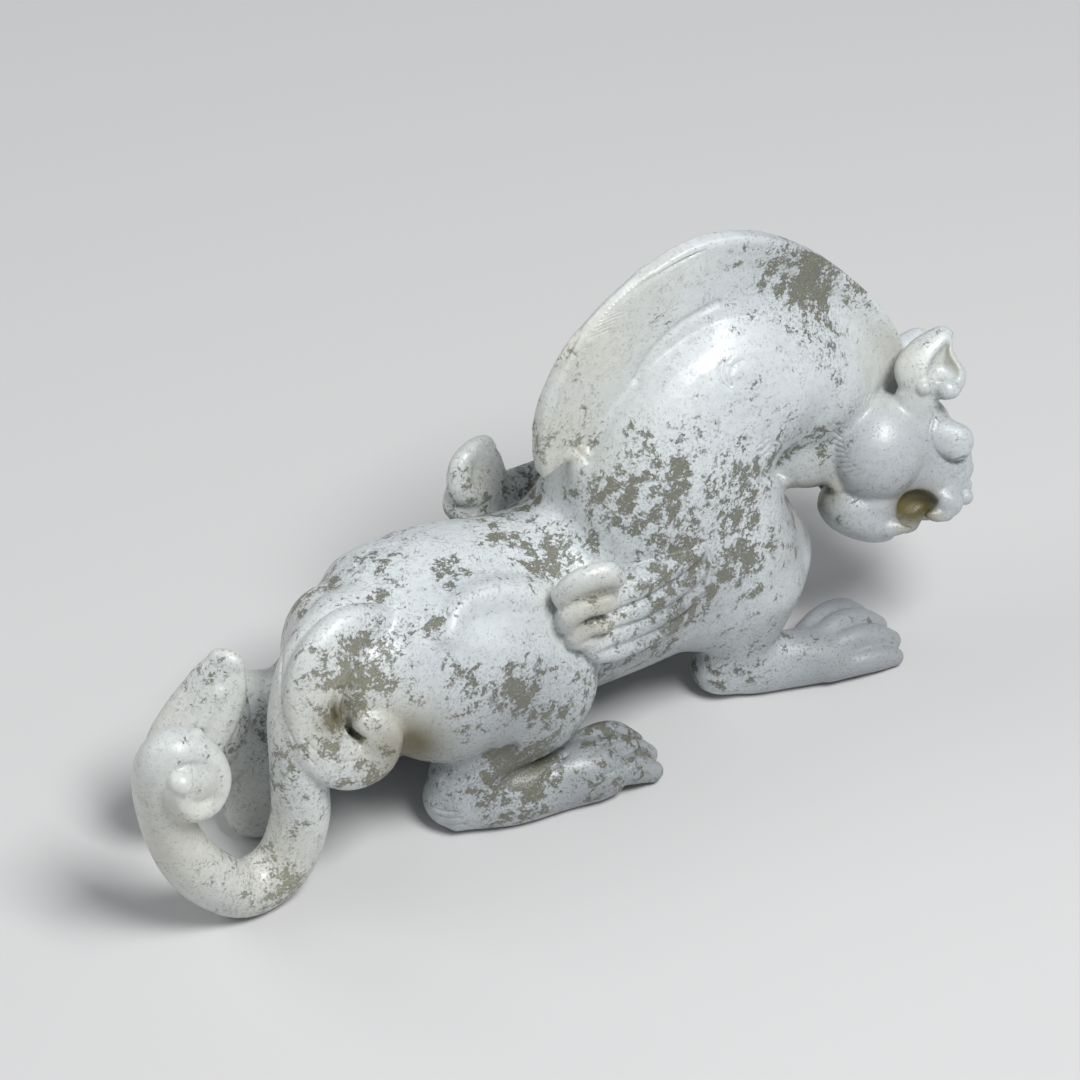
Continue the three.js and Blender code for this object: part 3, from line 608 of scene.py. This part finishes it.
class Carving:
    """A block of distances to the surface, in millimetres, negative inside."""

    def __init__(self, low, high, step):
        self.low = np.asarray(low, float)
        self.step = step
        shape = np.ceil((np.asarray(high, float) - self.low) / step).astype(int) + 1
        self.values = np.full(shape, BAND, np.float32)

    def distances(self, solid):
        """The part of the block near the solid, and the distances to the solid there."""
        points, quads, triangles = solid
        cells = (points - self.low) / self.step
        reach = BAND / self.step
        start = np.maximum(np.floor(cells.min(0) - reach).astype(int), 0)
        stop = np.minimum(np.ceil(cells.max(0) + reach).astype(int) + 1, self.values.shape)
        grid = openvdb.FloatGrid.createLevelSetFromPolygons(
            cells.astype(np.float32), triangles=triangles.astype(np.uint32),
            quads=quads.astype(np.uint32), transform=openvdb.createLinearTransform(voxelSize=1.0),
            halfWidth=reach)
        near = np.zeros(stop - start, np.float32)
        grid.copyToArray(near, ijk=tuple(int(v) for v in start))
        return tuple(slice(a, b) for a, b in zip(start, stop)), near * self.step

    def add(self, solid, soft=0.6):
        """Joins the solid: the smaller distance, less a fillet where both are within soft."""
        part, near = self.distances(solid)
        here = self.values[part]
        blend = np.maximum(soft - np.abs(here - near), 0) / soft
        self.values[part] = np.minimum(here, near) - blend ** 2 * soft / 4

    def cut(self, solid, soft=0.5):
        """Takes the solid away: the larger of the distance and the solid's own turned round."""
        part, near = self.distances(solid)
        here = self.values[part]
        blend = np.maximum(soft - np.abs(here + near), 0) / soft
        self.values[part] = np.maximum(here, -near) + blend ** 2 * soft / 4

    def flatten(self, height, soft=0.4):
        """Cuts off all that is below the height, with a small round along the edge."""
        rise = self.low[2] + self.step * np.arange(self.values.shape[2])
        near = (height - rise).astype(np.float32)[None, None]
        blend = np.maximum(soft - np.abs(self.values - near), 0) / soft
        self.values = np.maximum(self.values, near) + blend ** 2 * soft / 4

    def sample(self, points):
        """The distances at the points, each from the block's nearest value."""
        cells = np.rint((points - self.low) / self.step).astype(int)
        cells = np.clip(cells, 0, np.array(self.values.shape) - 1)
        return self.values[cells[:, 0], cells[:, 1], cells[:, 2]]

    def surface(self):
        """The points and quads of the surface where the distance is nought."""
        grid = openvdb.FloatGrid(BAND)
        grid.copyFromArray(self.values, ijk=(0, 0, 0), tolerance=0.0)
        points, quads = grid.convertToQuads(0.0)
        return points * self.step + self.low, quads


def crest():
    """The blade: at each station a thin eight-cornered section from the rim to the root, carried
    on smooth curves from the withers to between the ears."""
    stations = np.array(CREST, float)
    root = np.stack([stations[:, 0], stations[:, 4], stations[:, 1]], 1)
    rim = np.stack([stations[:, 2], stations[:, 4], stations[:, 3]], 1)
    inward = unit(root - rim)
    wide = np.array([0.0, 1.0, 0.0])
    half = CREST_HALF
    thick = stations[:, 5:]
    bevel = rim + inward * CREST_BEVEL
    middle = rim + inward * CREST_BAND
    corners = [
        rim + wide * half * RIM_SHARE, rim - wide * half * RIM_SHARE,
        bevel - wide * half, middle - wide * half * BAND_SHARE,
        root - wide * thick, root + wide * thick,
        middle + wide * half * BAND_SHARE, bevel + wide * half,
    ]
    rows = np.stack([smooth_curve(corner, CREST_ROWS) for corner in corners], 1)
    return tube(rows)


def hind_leg(side, shift=0, out=0, thigh_shift=0, thigh_drop=0):
    """Heavy thigh, short shank, long foot, each with the softness of its joint. Each place is the
    right leg's, turned to its side."""
    def at(x, y, z, *size):
        return (x + shift, side * (y + out), z, *size)

    haunch = side_pillow(np.add(RIGHT_HAUNCH, (thigh_shift, -thigh_drop)), side * (8 + out), 7.2)
    knee_place = (thigh_shift - 7.4, side * (11.4 + out), 17.2 - thigh_drop)
    shank = rod([at(-10, 9, 13, 5.5, 5), at(-16, 8.5, 8, 4.5, 4.8), at(-18.5, 8.6, 3.7, 4, 4)], (1, 0, 0))
    foot = rod([
        at(-18.5, 9, 4, 4, 4.6), at(-12, 11.8, 3.6, 4, 4.4), at(-5, 13.2, 3.5, 3.7, 4.3),
        at(-1, 13.7, 3.4, 4.2, 4.2), at(1, 13.8, 3, 4.1, 3.6),
    ], blunt=0.4)
    toes = [(rod([at(*place) for place in toe]), 0.4) for toe in HIND_TOES]
    knee = ball(knee_place, (7.8, 4.8, 9), (0, 25, 0))
    return [(haunch, 2.5), (knee, 0.8), (shank, 1.2), (foot, 1.0), *toes]


def front_leg(side, shift=0, out=0):
    """Upper arm that melts into the chest, an elbow on the ground and a flat forearm, each with
    the softness of its joint."""
    def at(x, y, z, *size):
        return (x + shift, side * (y + out), z, *size)

    shoulder = ball((24 + shift, side * (7 + out), 20), (9, 6, 12), (0, 10, 0))
    arm = rod([at(28, 7.5, 16, 5.5, 6.5), at(26, 7.2, 9, 4.6, 5.4), at(23.5, 6.8, 3.7, 3.8, 3.8)], (1, 0, 0))
    forearm = rod([
        at(22, 5.8, 4, 2.6, 2.6), at(26, 8, 3.8, 3.6, 4.4), at(32, 10.4, 3.4, 3.6, 4),
        at(37, 11.4, 2.8, 4.2, 3.4), at(39, 11.6, 2.4, 4.2, 2.8),
    ], blunt=0.4)
    toes = [(rod([at(*place) for place in toe]), 0.4) for toe in FRONT_TOES]
    return [(shoulder, 2.5), (arm, 2.0), (forearm, 1.2), *toes]


def side_pillow(outline, y, thick, power=2.0):
    """A pillow in a plane that looks to the side, at side distance y."""
    return pillow(outline, (0, y, 0), (1, 0, 0), (0, 0, 1), thick, power)


def face_half(side):
    """Brow pad, cheek ridge, forehead, whisker pad, fangs and nose curls of one side of the head,
    each with the softness of its joint."""
    def at(x, y, z, *size):
        return (x, side * y, z, *size)

    def bar(stations, face, sides=32):
        return rod([at(*place) for place in stations], face, sides)

    return [
        (side_pillow(BROW_PROFILE, side * 4.5, 1.6, 2.8), 0.4),
        (bar(CHEEK_RIDGE, (0.2, side, 0.2), 16), 0.8),
        (ball(at(6.0, 2.8, 3.2), (4.2, 3.6, 4.6)), 1.2),
        (ball(at(10.8, 2.4, -4.9), (2.5, 2.3, 2.3)), 0.5),
        (bar(UPPER_FANG, (0, 1, 0)), 0.3),
        (bar(LOWER_FANG, (0, 1, 0)), 0.4),
        (ball(at(12.6, 1.5, -0.9), (1.1, 1.1, 1.0)), 0.3),
        (ball(at(13.3, 1.5, -2.4), (1.0, 1.1, 0.9)), 0.3),
        (ball(at(13.6, 1.6, -3.9), (1.1, 1.2, 1.1)), 0.3),
    ]


def ear(side):
    """A thick leaf with a pointed tip, hollowed at the front, with a curl at each corner."""
    leaf = side_pillow(EAR_PROFILE, side * 6.6, 2.1, 2.4)
    root = rod([(x, side * y, z, *size) for x, y, z, *size in EAR_ROOT], (0.3, side, 0))
    cup = side_pillow(EAR_CUP, side * 9.2, 2.6)
    curls = [ball((4.2, side * 8, 8.7), (1.1, 1.0, 1.0)), ball((7.5, side * 8, 9.0), (1.5, 1.1, 1.3))]
    return leaf, root, cup, curls


def head_forms():
    """The head, made upright about the middle of the skull, with the softness of each joint."""
    return [
        (ball((0.6, 2.4, 0.4), (6.8, 6.6, 7.2)), 0.8),
        (ball((0.6, -2.4, 0.4), (6.8, 6.6, 7.2)), 0.8),
        (side_pillow(HEAD_PROFILE, 0, 5, 2.2), 0.5),
        (rod(MUZZLE, blunt=0.5), 0.8),
        (side_pillow(JAW_PROFILE, 0, 4.4, 2.4), 0.4),
        (ball((1.8, 0, -7.2), (4.4, 4.6, 2.6)), 0.8),
        *face_half(-1),
        *face_half(1),
    ]


def add_head(block):
    """Sets the head in place: the joined forms first, then the hollows of the mouth and ears."""
    def placed(solid):
        return moved(solid, HEAD_TURN, HEAD_PLACE)

    for solid, soft in head_forms():
        block.add(placed(solid), soft)
    for side in (-1, 1):
        block.cut(placed(side_pillow(MOUTH_PROFILE, side * 5.2, 3.6, 3.0)), 0.3)
        leaf, root, cup, curls = ear(side)
        block.add(placed(root), 0.8)
        block.add(placed(leaf), 0.3)
        block.cut(placed(cup), 0.3)
        for curl in curls:
            block.add(placed(curl), 0.25)
    floor = side_pillow(np.multiply(MOUTH_PROFILE, MOUTH_FLOOR), 0, 1.5, 3.0)
    block.add(placed(floor), 0.3)


HEAD_TURN = turned((HEAD_ROLL, HEAD_DOWN, HEAD_YAW))


def to_view(point):
    """A point's places along the camera's right, up and forward directions."""
    return np.array([point @ VIEW_RIGHT, point @ VIEW_UP, point @ -VIEW_BACK])


def wing_forms():
    """The right wing: a backing that swells from the flank, the paddle and the feathers."""
    paddle = pillow(PADDLE, PADDLE_PLACE, (1, 0, 0), PADDLE_LEAN, 1.9, 2.4)
    return [ball(*WING_BACKING), paddle] + [rod(feather, (0, -1, 0.2), sides=20) for feather in FEATHERS]


def carve():
    """The block of the whole beast, and its surface in millimetres."""
    block = Carving(BLOCK_LOW, BLOCK_HIGH, GRID_STEP)
    block.add(rod(TORSO, blunt=0.7))
    block.add(rod(NECK, (-0.2, 0, 1), square=2.5, blunt=0.5), 3.0)
    block.add(crest(), 0.5)
    block.add(rod(NECK_WEDGE, (0.5, 0, 0.85)), 3.0)
    block.add(ball(*CHEST), 3.0)
    block.add(ball(*THROAT), 2.5)
    block.add(rod(WITHERS, (1, 0, 0)), 1.0)
    block.add(ball(*RUMP), 2.0)
    add_head(block)

    coil = [(*sight(u, v, y), width, thick) for u, v, y, width, thick in COIL]
    block.add(rod(TAIL + coil, (0, -1, 0)), 1.0)
    for (pixel, half), soft in ((COIL_DISC, 0.5), (COIL_KNOB, 0.4)):
        block.add(ball(sight(*pixel), half), soft)
    web = np.array([to_view(sight(u, v, LEFT_LOBE_Y)) for u, v in LEFT_LOBE])
    depth = to_view(sight(*LEFT_LOBE_MIDDLE, LEFT_LOBE_Y))[2]
    block.add(pillow(web[:, :2], -VIEW_BACK * depth, VIEW_RIGHT, VIEW_UP, (3.0, 4.5), 2.6), 1.0)
    band = [(*sight(u, v, LEFT_BAND_Y), width, BAND_FLATNESS * width) for u, v, width in LEFT_BAND]
    block.add(ball(*LEFT_TAIL_ROOT), 1.0)
    block.add(rod(band, VIEW_BACK), 0.6)
    block.add(rod(RIGHT_HOOK, (-0.25, -1, 0.3), square=2.6), 0.6)

    for solid, soft in hind_leg(-1) + hind_leg(1, shift=-22, out=-5, thigh_shift=-6, thigh_drop=6):
        block.add(solid, soft)
    for solid, soft in front_leg(-1) + front_leg(1, shift=-17, out=-1.5):
        block.add(solid, soft)
    for solid in wing_forms():
        block.add(solid, 0.3)
        block.add(mirrored(solid), 0.3)
    block.flatten(0.0)
    return (block, *block.surface())


def mesh_from(name, points, quads):
    """A mesh object from arrays, in metres and in the model's frame, with smooth faces."""
    mesh = bpy.data.meshes.new(name)
    placed = (points + FRAME_SHIFT) * MM
    mesh.vertices.add(len(placed))
    mesh.vertices.foreach_set("co", placed.astype(np.float32).ravel())
    mesh.loops.add(quads.size)
    mesh.loops.foreach_set("vertex_index", quads.astype(np.int32).ravel())
    mesh.polygons.add(len(quads))
    mesh.polygons.foreach_set("loop_start", np.arange(len(quads), dtype=np.int32) * 4)
    mesh.polygons.foreach_set("loop_total", np.full(len(quads), 4, np.int32))
    mesh.update(calc_edges=True)
    mesh.validate()
    mesh.shade_smooth()
    obj = bpy.data.objects.new(name, mesh)
    bpy.context.scene.collection.objects.link(obj)
    return obj


def signed_volume(points, quads):
    """Sum over the faces of a corner times the cross product of the face's diagonals."""
    a, b, c, d = (points[quads[:, k]] for k in range(4))
    return float(np.einsum("ij,ij->", a, np.cross(c - a, d - b))) / 6


def thinned(obj, budget):
    """The object with its flat places carried by fewer, larger triangles, within the budget."""
    count = sum(len(face.vertices) - 2 for face in obj.data.polygons)
    thinner = obj.modifiers.new("thinner", "DECIMATE")
    thinner.ratio = min(1.0, budget / count)
    seen = obj.evaluated_get(bpy.context.evaluated_depsgraph_get())
    mesh = bpy.data.meshes.new_from_object(seen)
    obj.modifiers.clear()
    obj.data = mesh
    drop_flaps(mesh)
    mesh.shade_smooth()


def drop_flaps(mesh):
    """Takes out the faces that thinning folds onto each other and leaves joined to nothing else."""
    mesh.validate()
    form = bmesh.new()
    form.from_mesh(mesh)
    loose = [face for face in form.faces if all(edge.is_boundary for edge in face.edges)]
    bmesh.ops.delete(form, geom=loose, context="FACES")
    form.to_mesh(mesh)
    form.free()


def both_depths(points, normals, lines, mirrored_lines):
    """How deep the lines press each point on the right side and, turned over, on the left."""
    return line_depth(points, normals, lines) + line_depth(points, normals, mirrored_lines, -1)


def split_near(mesh, lines, mirrored_lines):
    """Halves the mesh's edges near the fine lines, so that they are cut cleanly."""
    points, normals = vertex_rows(mesh)
    wide, wide_mirrored = (
        [(half + FINE_MARGIN, 1, line) for half, depth, line in group if half < FINE_LINE]
        for group in (lines, mirrored_lines))
    near = both_depths(points, normals, wide, wide_mirrored) > 0
    form = bmesh.new()
    form.from_mesh(mesh)
    ends = np.empty(len(mesh.edges) * 2, np.int32)
    mesh.edges.foreach_get("vertices", ends)
    chosen = np.flatnonzero(near[ends.reshape(-1, 2)].all(1))
    form.edges.ensure_lookup_table()
    bmesh.ops.subdivide_edges(form, edges=[form.edges[k] for k in chosen], cuts=1, use_grid_fill=True)
    form.to_mesh(mesh)
    form.free()


def press(mesh, lines, mirrored_lines):
    """Moves the mesh's vertices in along their normals by the depth of the lines."""
    points, normals = vertex_rows(mesh)
    depth = both_depths(points, normals, lines, mirrored_lines)
    placed = (points - normals * depth[:, None] + FRAME_SHIFT) * MM
    mesh.vertices.foreach_set("co", placed.astype(np.float32).ravel())
    mesh.update()


def vertex_rows(mesh):
    """The mesh's vertices in the carver's frame, in millimetres, and their normals."""
    rows = np.empty(len(mesh.vertices) * 3, np.float32)
    mesh.vertices.foreach_get("co", rows)
    normals = np.empty(len(mesh.vertices) * 3, np.float32)
    mesh.vertex_normals.foreach_get("vector", normals)
    return rows.reshape(-1, 3) / MM - np.asarray(FRAME_SHIFT), normals.reshape(-1, 3)


def zone(points, places):
    """How much a point belongs to a zone: the largest of weight * exp(-(distance / radius) ** 2)
    over the zone's places, with the right side's places standing for both sides."""
    sided = points * (1, 0, 1) - np.abs(points * (0, 1, 0))
    level = np.zeros(len(points))
    for x, y, z, radius, weight in places:
        away = np.linalg.norm(sided - (x, y, z), axis=1) / radius
        level = np.maximum(level, weight * np.exp(-away ** 2))
    return level


def paint(mesh, name, values):
    """Keeps one number for each vertex under the name, for the stone's pattern to read."""
    layer = mesh.attributes.new(name, "FLOAT", "POINT")
    layer.data.foreach_set("value", np.clip(values, 0, 1).astype(np.float32))


class Pattern:
    """Builds a material's pattern out of nodes."""

    def __init__(self, name):
        self.material = bpy.data.materials.new(name)
        self.material.use_nodes = True
        self.tree = self.material.node_tree
        self.shader = self.tree.nodes["Principled BSDF"]
        self.place = self.tree.nodes.new("ShaderNodeTexCoord").outputs["Object"]

    def feed(self, socket, value):
        """Sets a socket to a value, or joins it to another node's output."""
        if isinstance(value, bpy.types.NodeSocket):
            self.tree.links.new(value, socket)
        else:
            socket.default_value = value

    def cloud(self, size, detail=2.0, roughness=0.5, distortion=0.0):
        """A cloudy number from 0 to 1 whose lumps are about the size across, in millimetres."""
        node = self.tree.nodes.new("ShaderNodeTexNoise")
        self.feed(node.inputs["Vector"], self.place)
        node.inputs["Scale"].default_value = 1 / (size * MM)
        node.inputs["Detail"].default_value = detail
        node.inputs["Roughness"].default_value = roughness
        node.inputs["Distortion"].default_value = distortion
        return node.outputs[0]

    def level(self, name):
        """The number that the mesh keeps under the name."""
        node = self.tree.nodes.new("ShaderNodeAttribute")
        node.attribute_name = name
        return node.outputs["Fac"]

    def sum(self, *terms, plus=0.0, clamp=False):
        """Plus, and each term's value times its weight, added up."""
        total = plus
        for value, weight in terms:
            node = self.tree.nodes.new("ShaderNodeMath")
            node.operation = "MULTIPLY_ADD"
            node.use_clamp = clamp and (value, weight) == terms[-1]
            self.feed(node.inputs[0], value)
            self.feed(node.inputs[1], weight)
            self.feed(node.inputs[2], total)
            total = node.outputs[0]
        return total

    def mix(self, share, first, second):
        """The first colour, or the second where the share is one."""
        node = self.tree.nodes.new("ShaderNodeMix")
        node.data_type = "RGBA"
        self.feed(node.inputs[0], share)
        self.feed(node.inputs[6], first)
        self.feed(node.inputs[7], second)
        return node.outputs[2]


def jade():
    """Pale jade under a white weathered skin. The skin breaks where a cloudy number, helped by
    the patches level, passes a limit, and the grey-olive stone shows there."""
    look = Pattern("jade")
    large = look.cloud(7.0, 3.0, 0.55)
    lumps = look.cloud(1.8, 9.0, 0.74, 0.2)
    grain = look.cloud(0.4, 4.0, 0.7)
    mottle = look.cloud(1.1, 8.0, 0.8)
    specks = look.cloud(0.25, 2.0, 0.5)
    patches = look.level("patches")
    grey = look.level("grey")

    # Where the skin is broken, thin enough to show the stone as a veil, or pitted with specks

    broken = look.sum((large, 0.5), (grain, 0.45), (lumps, 1.0), plus=-0.475)
    bare = look.sum((patches, 0.25), (broken, 1.0), plus=-0.685)
    islands = look.sum((grain, 26.0), plus=-14.6, clamp=True)
    hole = look.sum((islands, -0.7), (look.sum((bare, 30.0), plus=0.5, clamp=True), 1.0), clamp=True)
    veil = look.sum((grey, 0.5), (grain, 7.0), (bare, 6.0), plus=-3.0, clamp=True)
    speck = look.sum((grey, 2.0), (patches, 3.0), (specks, 30.0), plus=-21.5, clamp=True)

    # Colours, from the skin down to the bare stone, the thin edges with their painted light, and the
    # amber-coloured stains and painted shade

    cloudy = look.cloud(12.0, 2.0, 0.5)
    skin = look.mix(look.sum((cloudy, 1.6), plus=-0.4, clamp=True), WHITE_SKIN, BLUE_SKIN)
    # Grey tone: the stone's own grey, and painted shade on the feet and lower parts
    skin = look.mix(look.sum((grey, 0.9), clamp=True), skin, GREY_AND_SHADE_SKIN)
    skin = look.mix(look.sum((look.level("cream"), 0.85), clamp=True), skin, CREAM_SKIN)
    skin = look.mix(look.sum((veil, 0.55), clamp=True), skin, VEILED_SKIN)
    dulled = look.mix(0.35, skin, VEILED_SKIN)
    skin = look.mix(look.sum((mottle, 3.0), plus=-1.25, clamp=True), skin, dulled)
    stone = look.mix(look.level("cream"), BARE_STONE, BARE_CREAM)
    colour = look.mix(look.sum((hole, 0.9), clamp=True), skin, stone)
    # Painted light: thin rims and tips tinted pale yellow as if light shone through the stone
    colour = look.mix(look.sum((look.level("thin"), 0.9), plus=-0.5, clamp=True), colour, THIN_EDGE_GLOW)
    # Amber: stains, and painted shade in the hook's gap and under the throat
    colour = look.mix(look.level("amber_and_shade"), colour, AMBER_AND_SHADE_STONE)
    colour = look.mix(look.sum((speck, 0.5), clamp=True), colour, BARE_STONE)
    look.feed(look.shader.inputs["Base Color"], colour)
    look.feed(look.shader.inputs["Roughness"], look.sum((veil, 0.12), plus=0.35))

    # A slight step down into the bare stone, and a fine grain

    relief = look.tree.nodes.new("ShaderNodeBump")
    relief.inputs["Strength"].default_value = 0.8
    relief.inputs["Distance"].default_value = 0.2 * MM
    height = look.sum((hole, -0.6), (speck, -0.5), (grain, 0.35), plus=0.5)
    look.feed(relief.inputs["Height"], height)
    look.feed(look.shader.inputs["Normal"], relief.outputs["Normal"])
    look.shader.inputs["IOR"].default_value = 1.6
    look.shader.inputs["Coat Weight"].default_value = 0.1
    look.shader.inputs["Coat Roughness"].default_value = 0.12
    return look.material


def soft_light(name, place, target, size, power):
    """A square area light at the place, turned to look at the target."""
    light = bpy.data.lights.new(name, "AREA")
    light.size = size
    light.energy = power
    lamp = bpy.data.objects.new(name, light)
    lamp.location = place
    lamp.rotation_euler = (Vector(target) - Vector(place)).to_track_quat("-Z", "Y").to_euler()
    bpy.context.scene.collection.objects.link(lamp)


# The beast

block, points, quads = carve()
if signed_volume(points, quads) < 0:
    quads = quads[:, ::-1]
beast = mesh_from("jade_beast", points, quads)
both_sides = NECK_AND_CREST_LINES + hatch_lines()
right_side = both_sides + HAUNCH_LINES + TAIL_LINES + FRONT_LINES + hair_lines()
split_near(beast.data, right_side, both_sides)
press(beast.data, right_side, both_sides)
thinned(beast, FACE_BUDGET)
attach(beast, "root")
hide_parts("beast")

skin_points, skin_normals = vertex_rows(beast.data)
depth_below = block.sample(skin_points - skin_normals * THIN_DEPTH)
paint(beast.data, "patches", zone(skin_points, PATCH_PLACES))
paint(beast.data, "cream", zone(skin_points, CREAM_PLACES))
# Grey level: grey stone, and painted shade on the feet and lower parts
paint(beast.data, "grey", zone(skin_points, GREY_AND_SHADE_PLACES))
# Amber places with darker amber at the mouth openings; the throat and the hook's gap among them are painted
# shade
mouth = np.array(MOUTH_MIDDLES, float) @ HEAD_TURN.T + HEAD_PLACE
amber_and_shade = AMBER_AND_SHADE_PLACES + [(*place, *MOUTH_AMBER) for place in mouth]
paint(beast.data, "amber_and_shade", zone(skin_points, amber_and_shade))
# Thinness of the stone, which sets the painted light through thin rims and tips
paint(beast.data, "thin", 1 + depth_below / THIN_DEPTH)
beast.data.materials.append(jade())

# Studio

FLOOR_REACH = 3.0
floor_mesh = bpy.data.meshes.new("floor")
corners = [(x * FLOOR_REACH, y * FLOOR_REACH, 0) for x, y in ((-1, -1), (1, -1), (1, 1), (-1, 1))]
floor_mesh.from_pydata(corners, [], [(0, 1, 2, 3)])
floor = bpy.data.objects.new("floor", floor_mesh)
bpy.context.scene.collection.objects.link(floor)
floor_look = bpy.data.materials.new("pale_floor")
floor_look.use_nodes = True
floor_shader = floor_look.node_tree.nodes["Principled BSDF"]
floor_shader.inputs["Base Color"].default_value = (0.62, 0.62, 0.62, 1)
floor_shader.inputs["Roughness"].default_value = 0.9
floor_mesh.materials.append(floor_look)

middle = (0, 0, 0.03)
soft_light("key", (0.08, -0.36, 0.68), middle, size=0.26, power=5.4)
soft_light("fill", (-0.5, 0.35, 0.5), middle, size=0.5, power=1.6)

world = bpy.data.worlds.new("studio")
world.use_nodes = True
sky = world.node_tree.nodes["Background"]
sky.inputs["Color"].default_value = (0.8, 0.83, 0.87, 1)
sky.inputs["Strength"].default_value = 0.25
bpy.context.scene.world = world
bpy.context.scene.view_settings.view_transform = "Standard"

camera_data = bpy.data.cameras.new("camera")
camera_data.lens = LENS
camera_data.sensor_width = SENSOR
camera_data.clip_start = 0.01
camera = bpy.data.objects.new("camera", camera_data)
target = Vector(VIEW_TARGET) + Vector(FRAME_SHIFT)
place = target + Vector(VIEW_BACK) * VIEW_DISTANCE
camera.location = place * MM
camera.rotation_euler = (target - place).to_track_quat("-Z", "Y").to_euler()
bpy.context.scene.collection.objects.link(camera)
bpy.context.scene.camera = camera
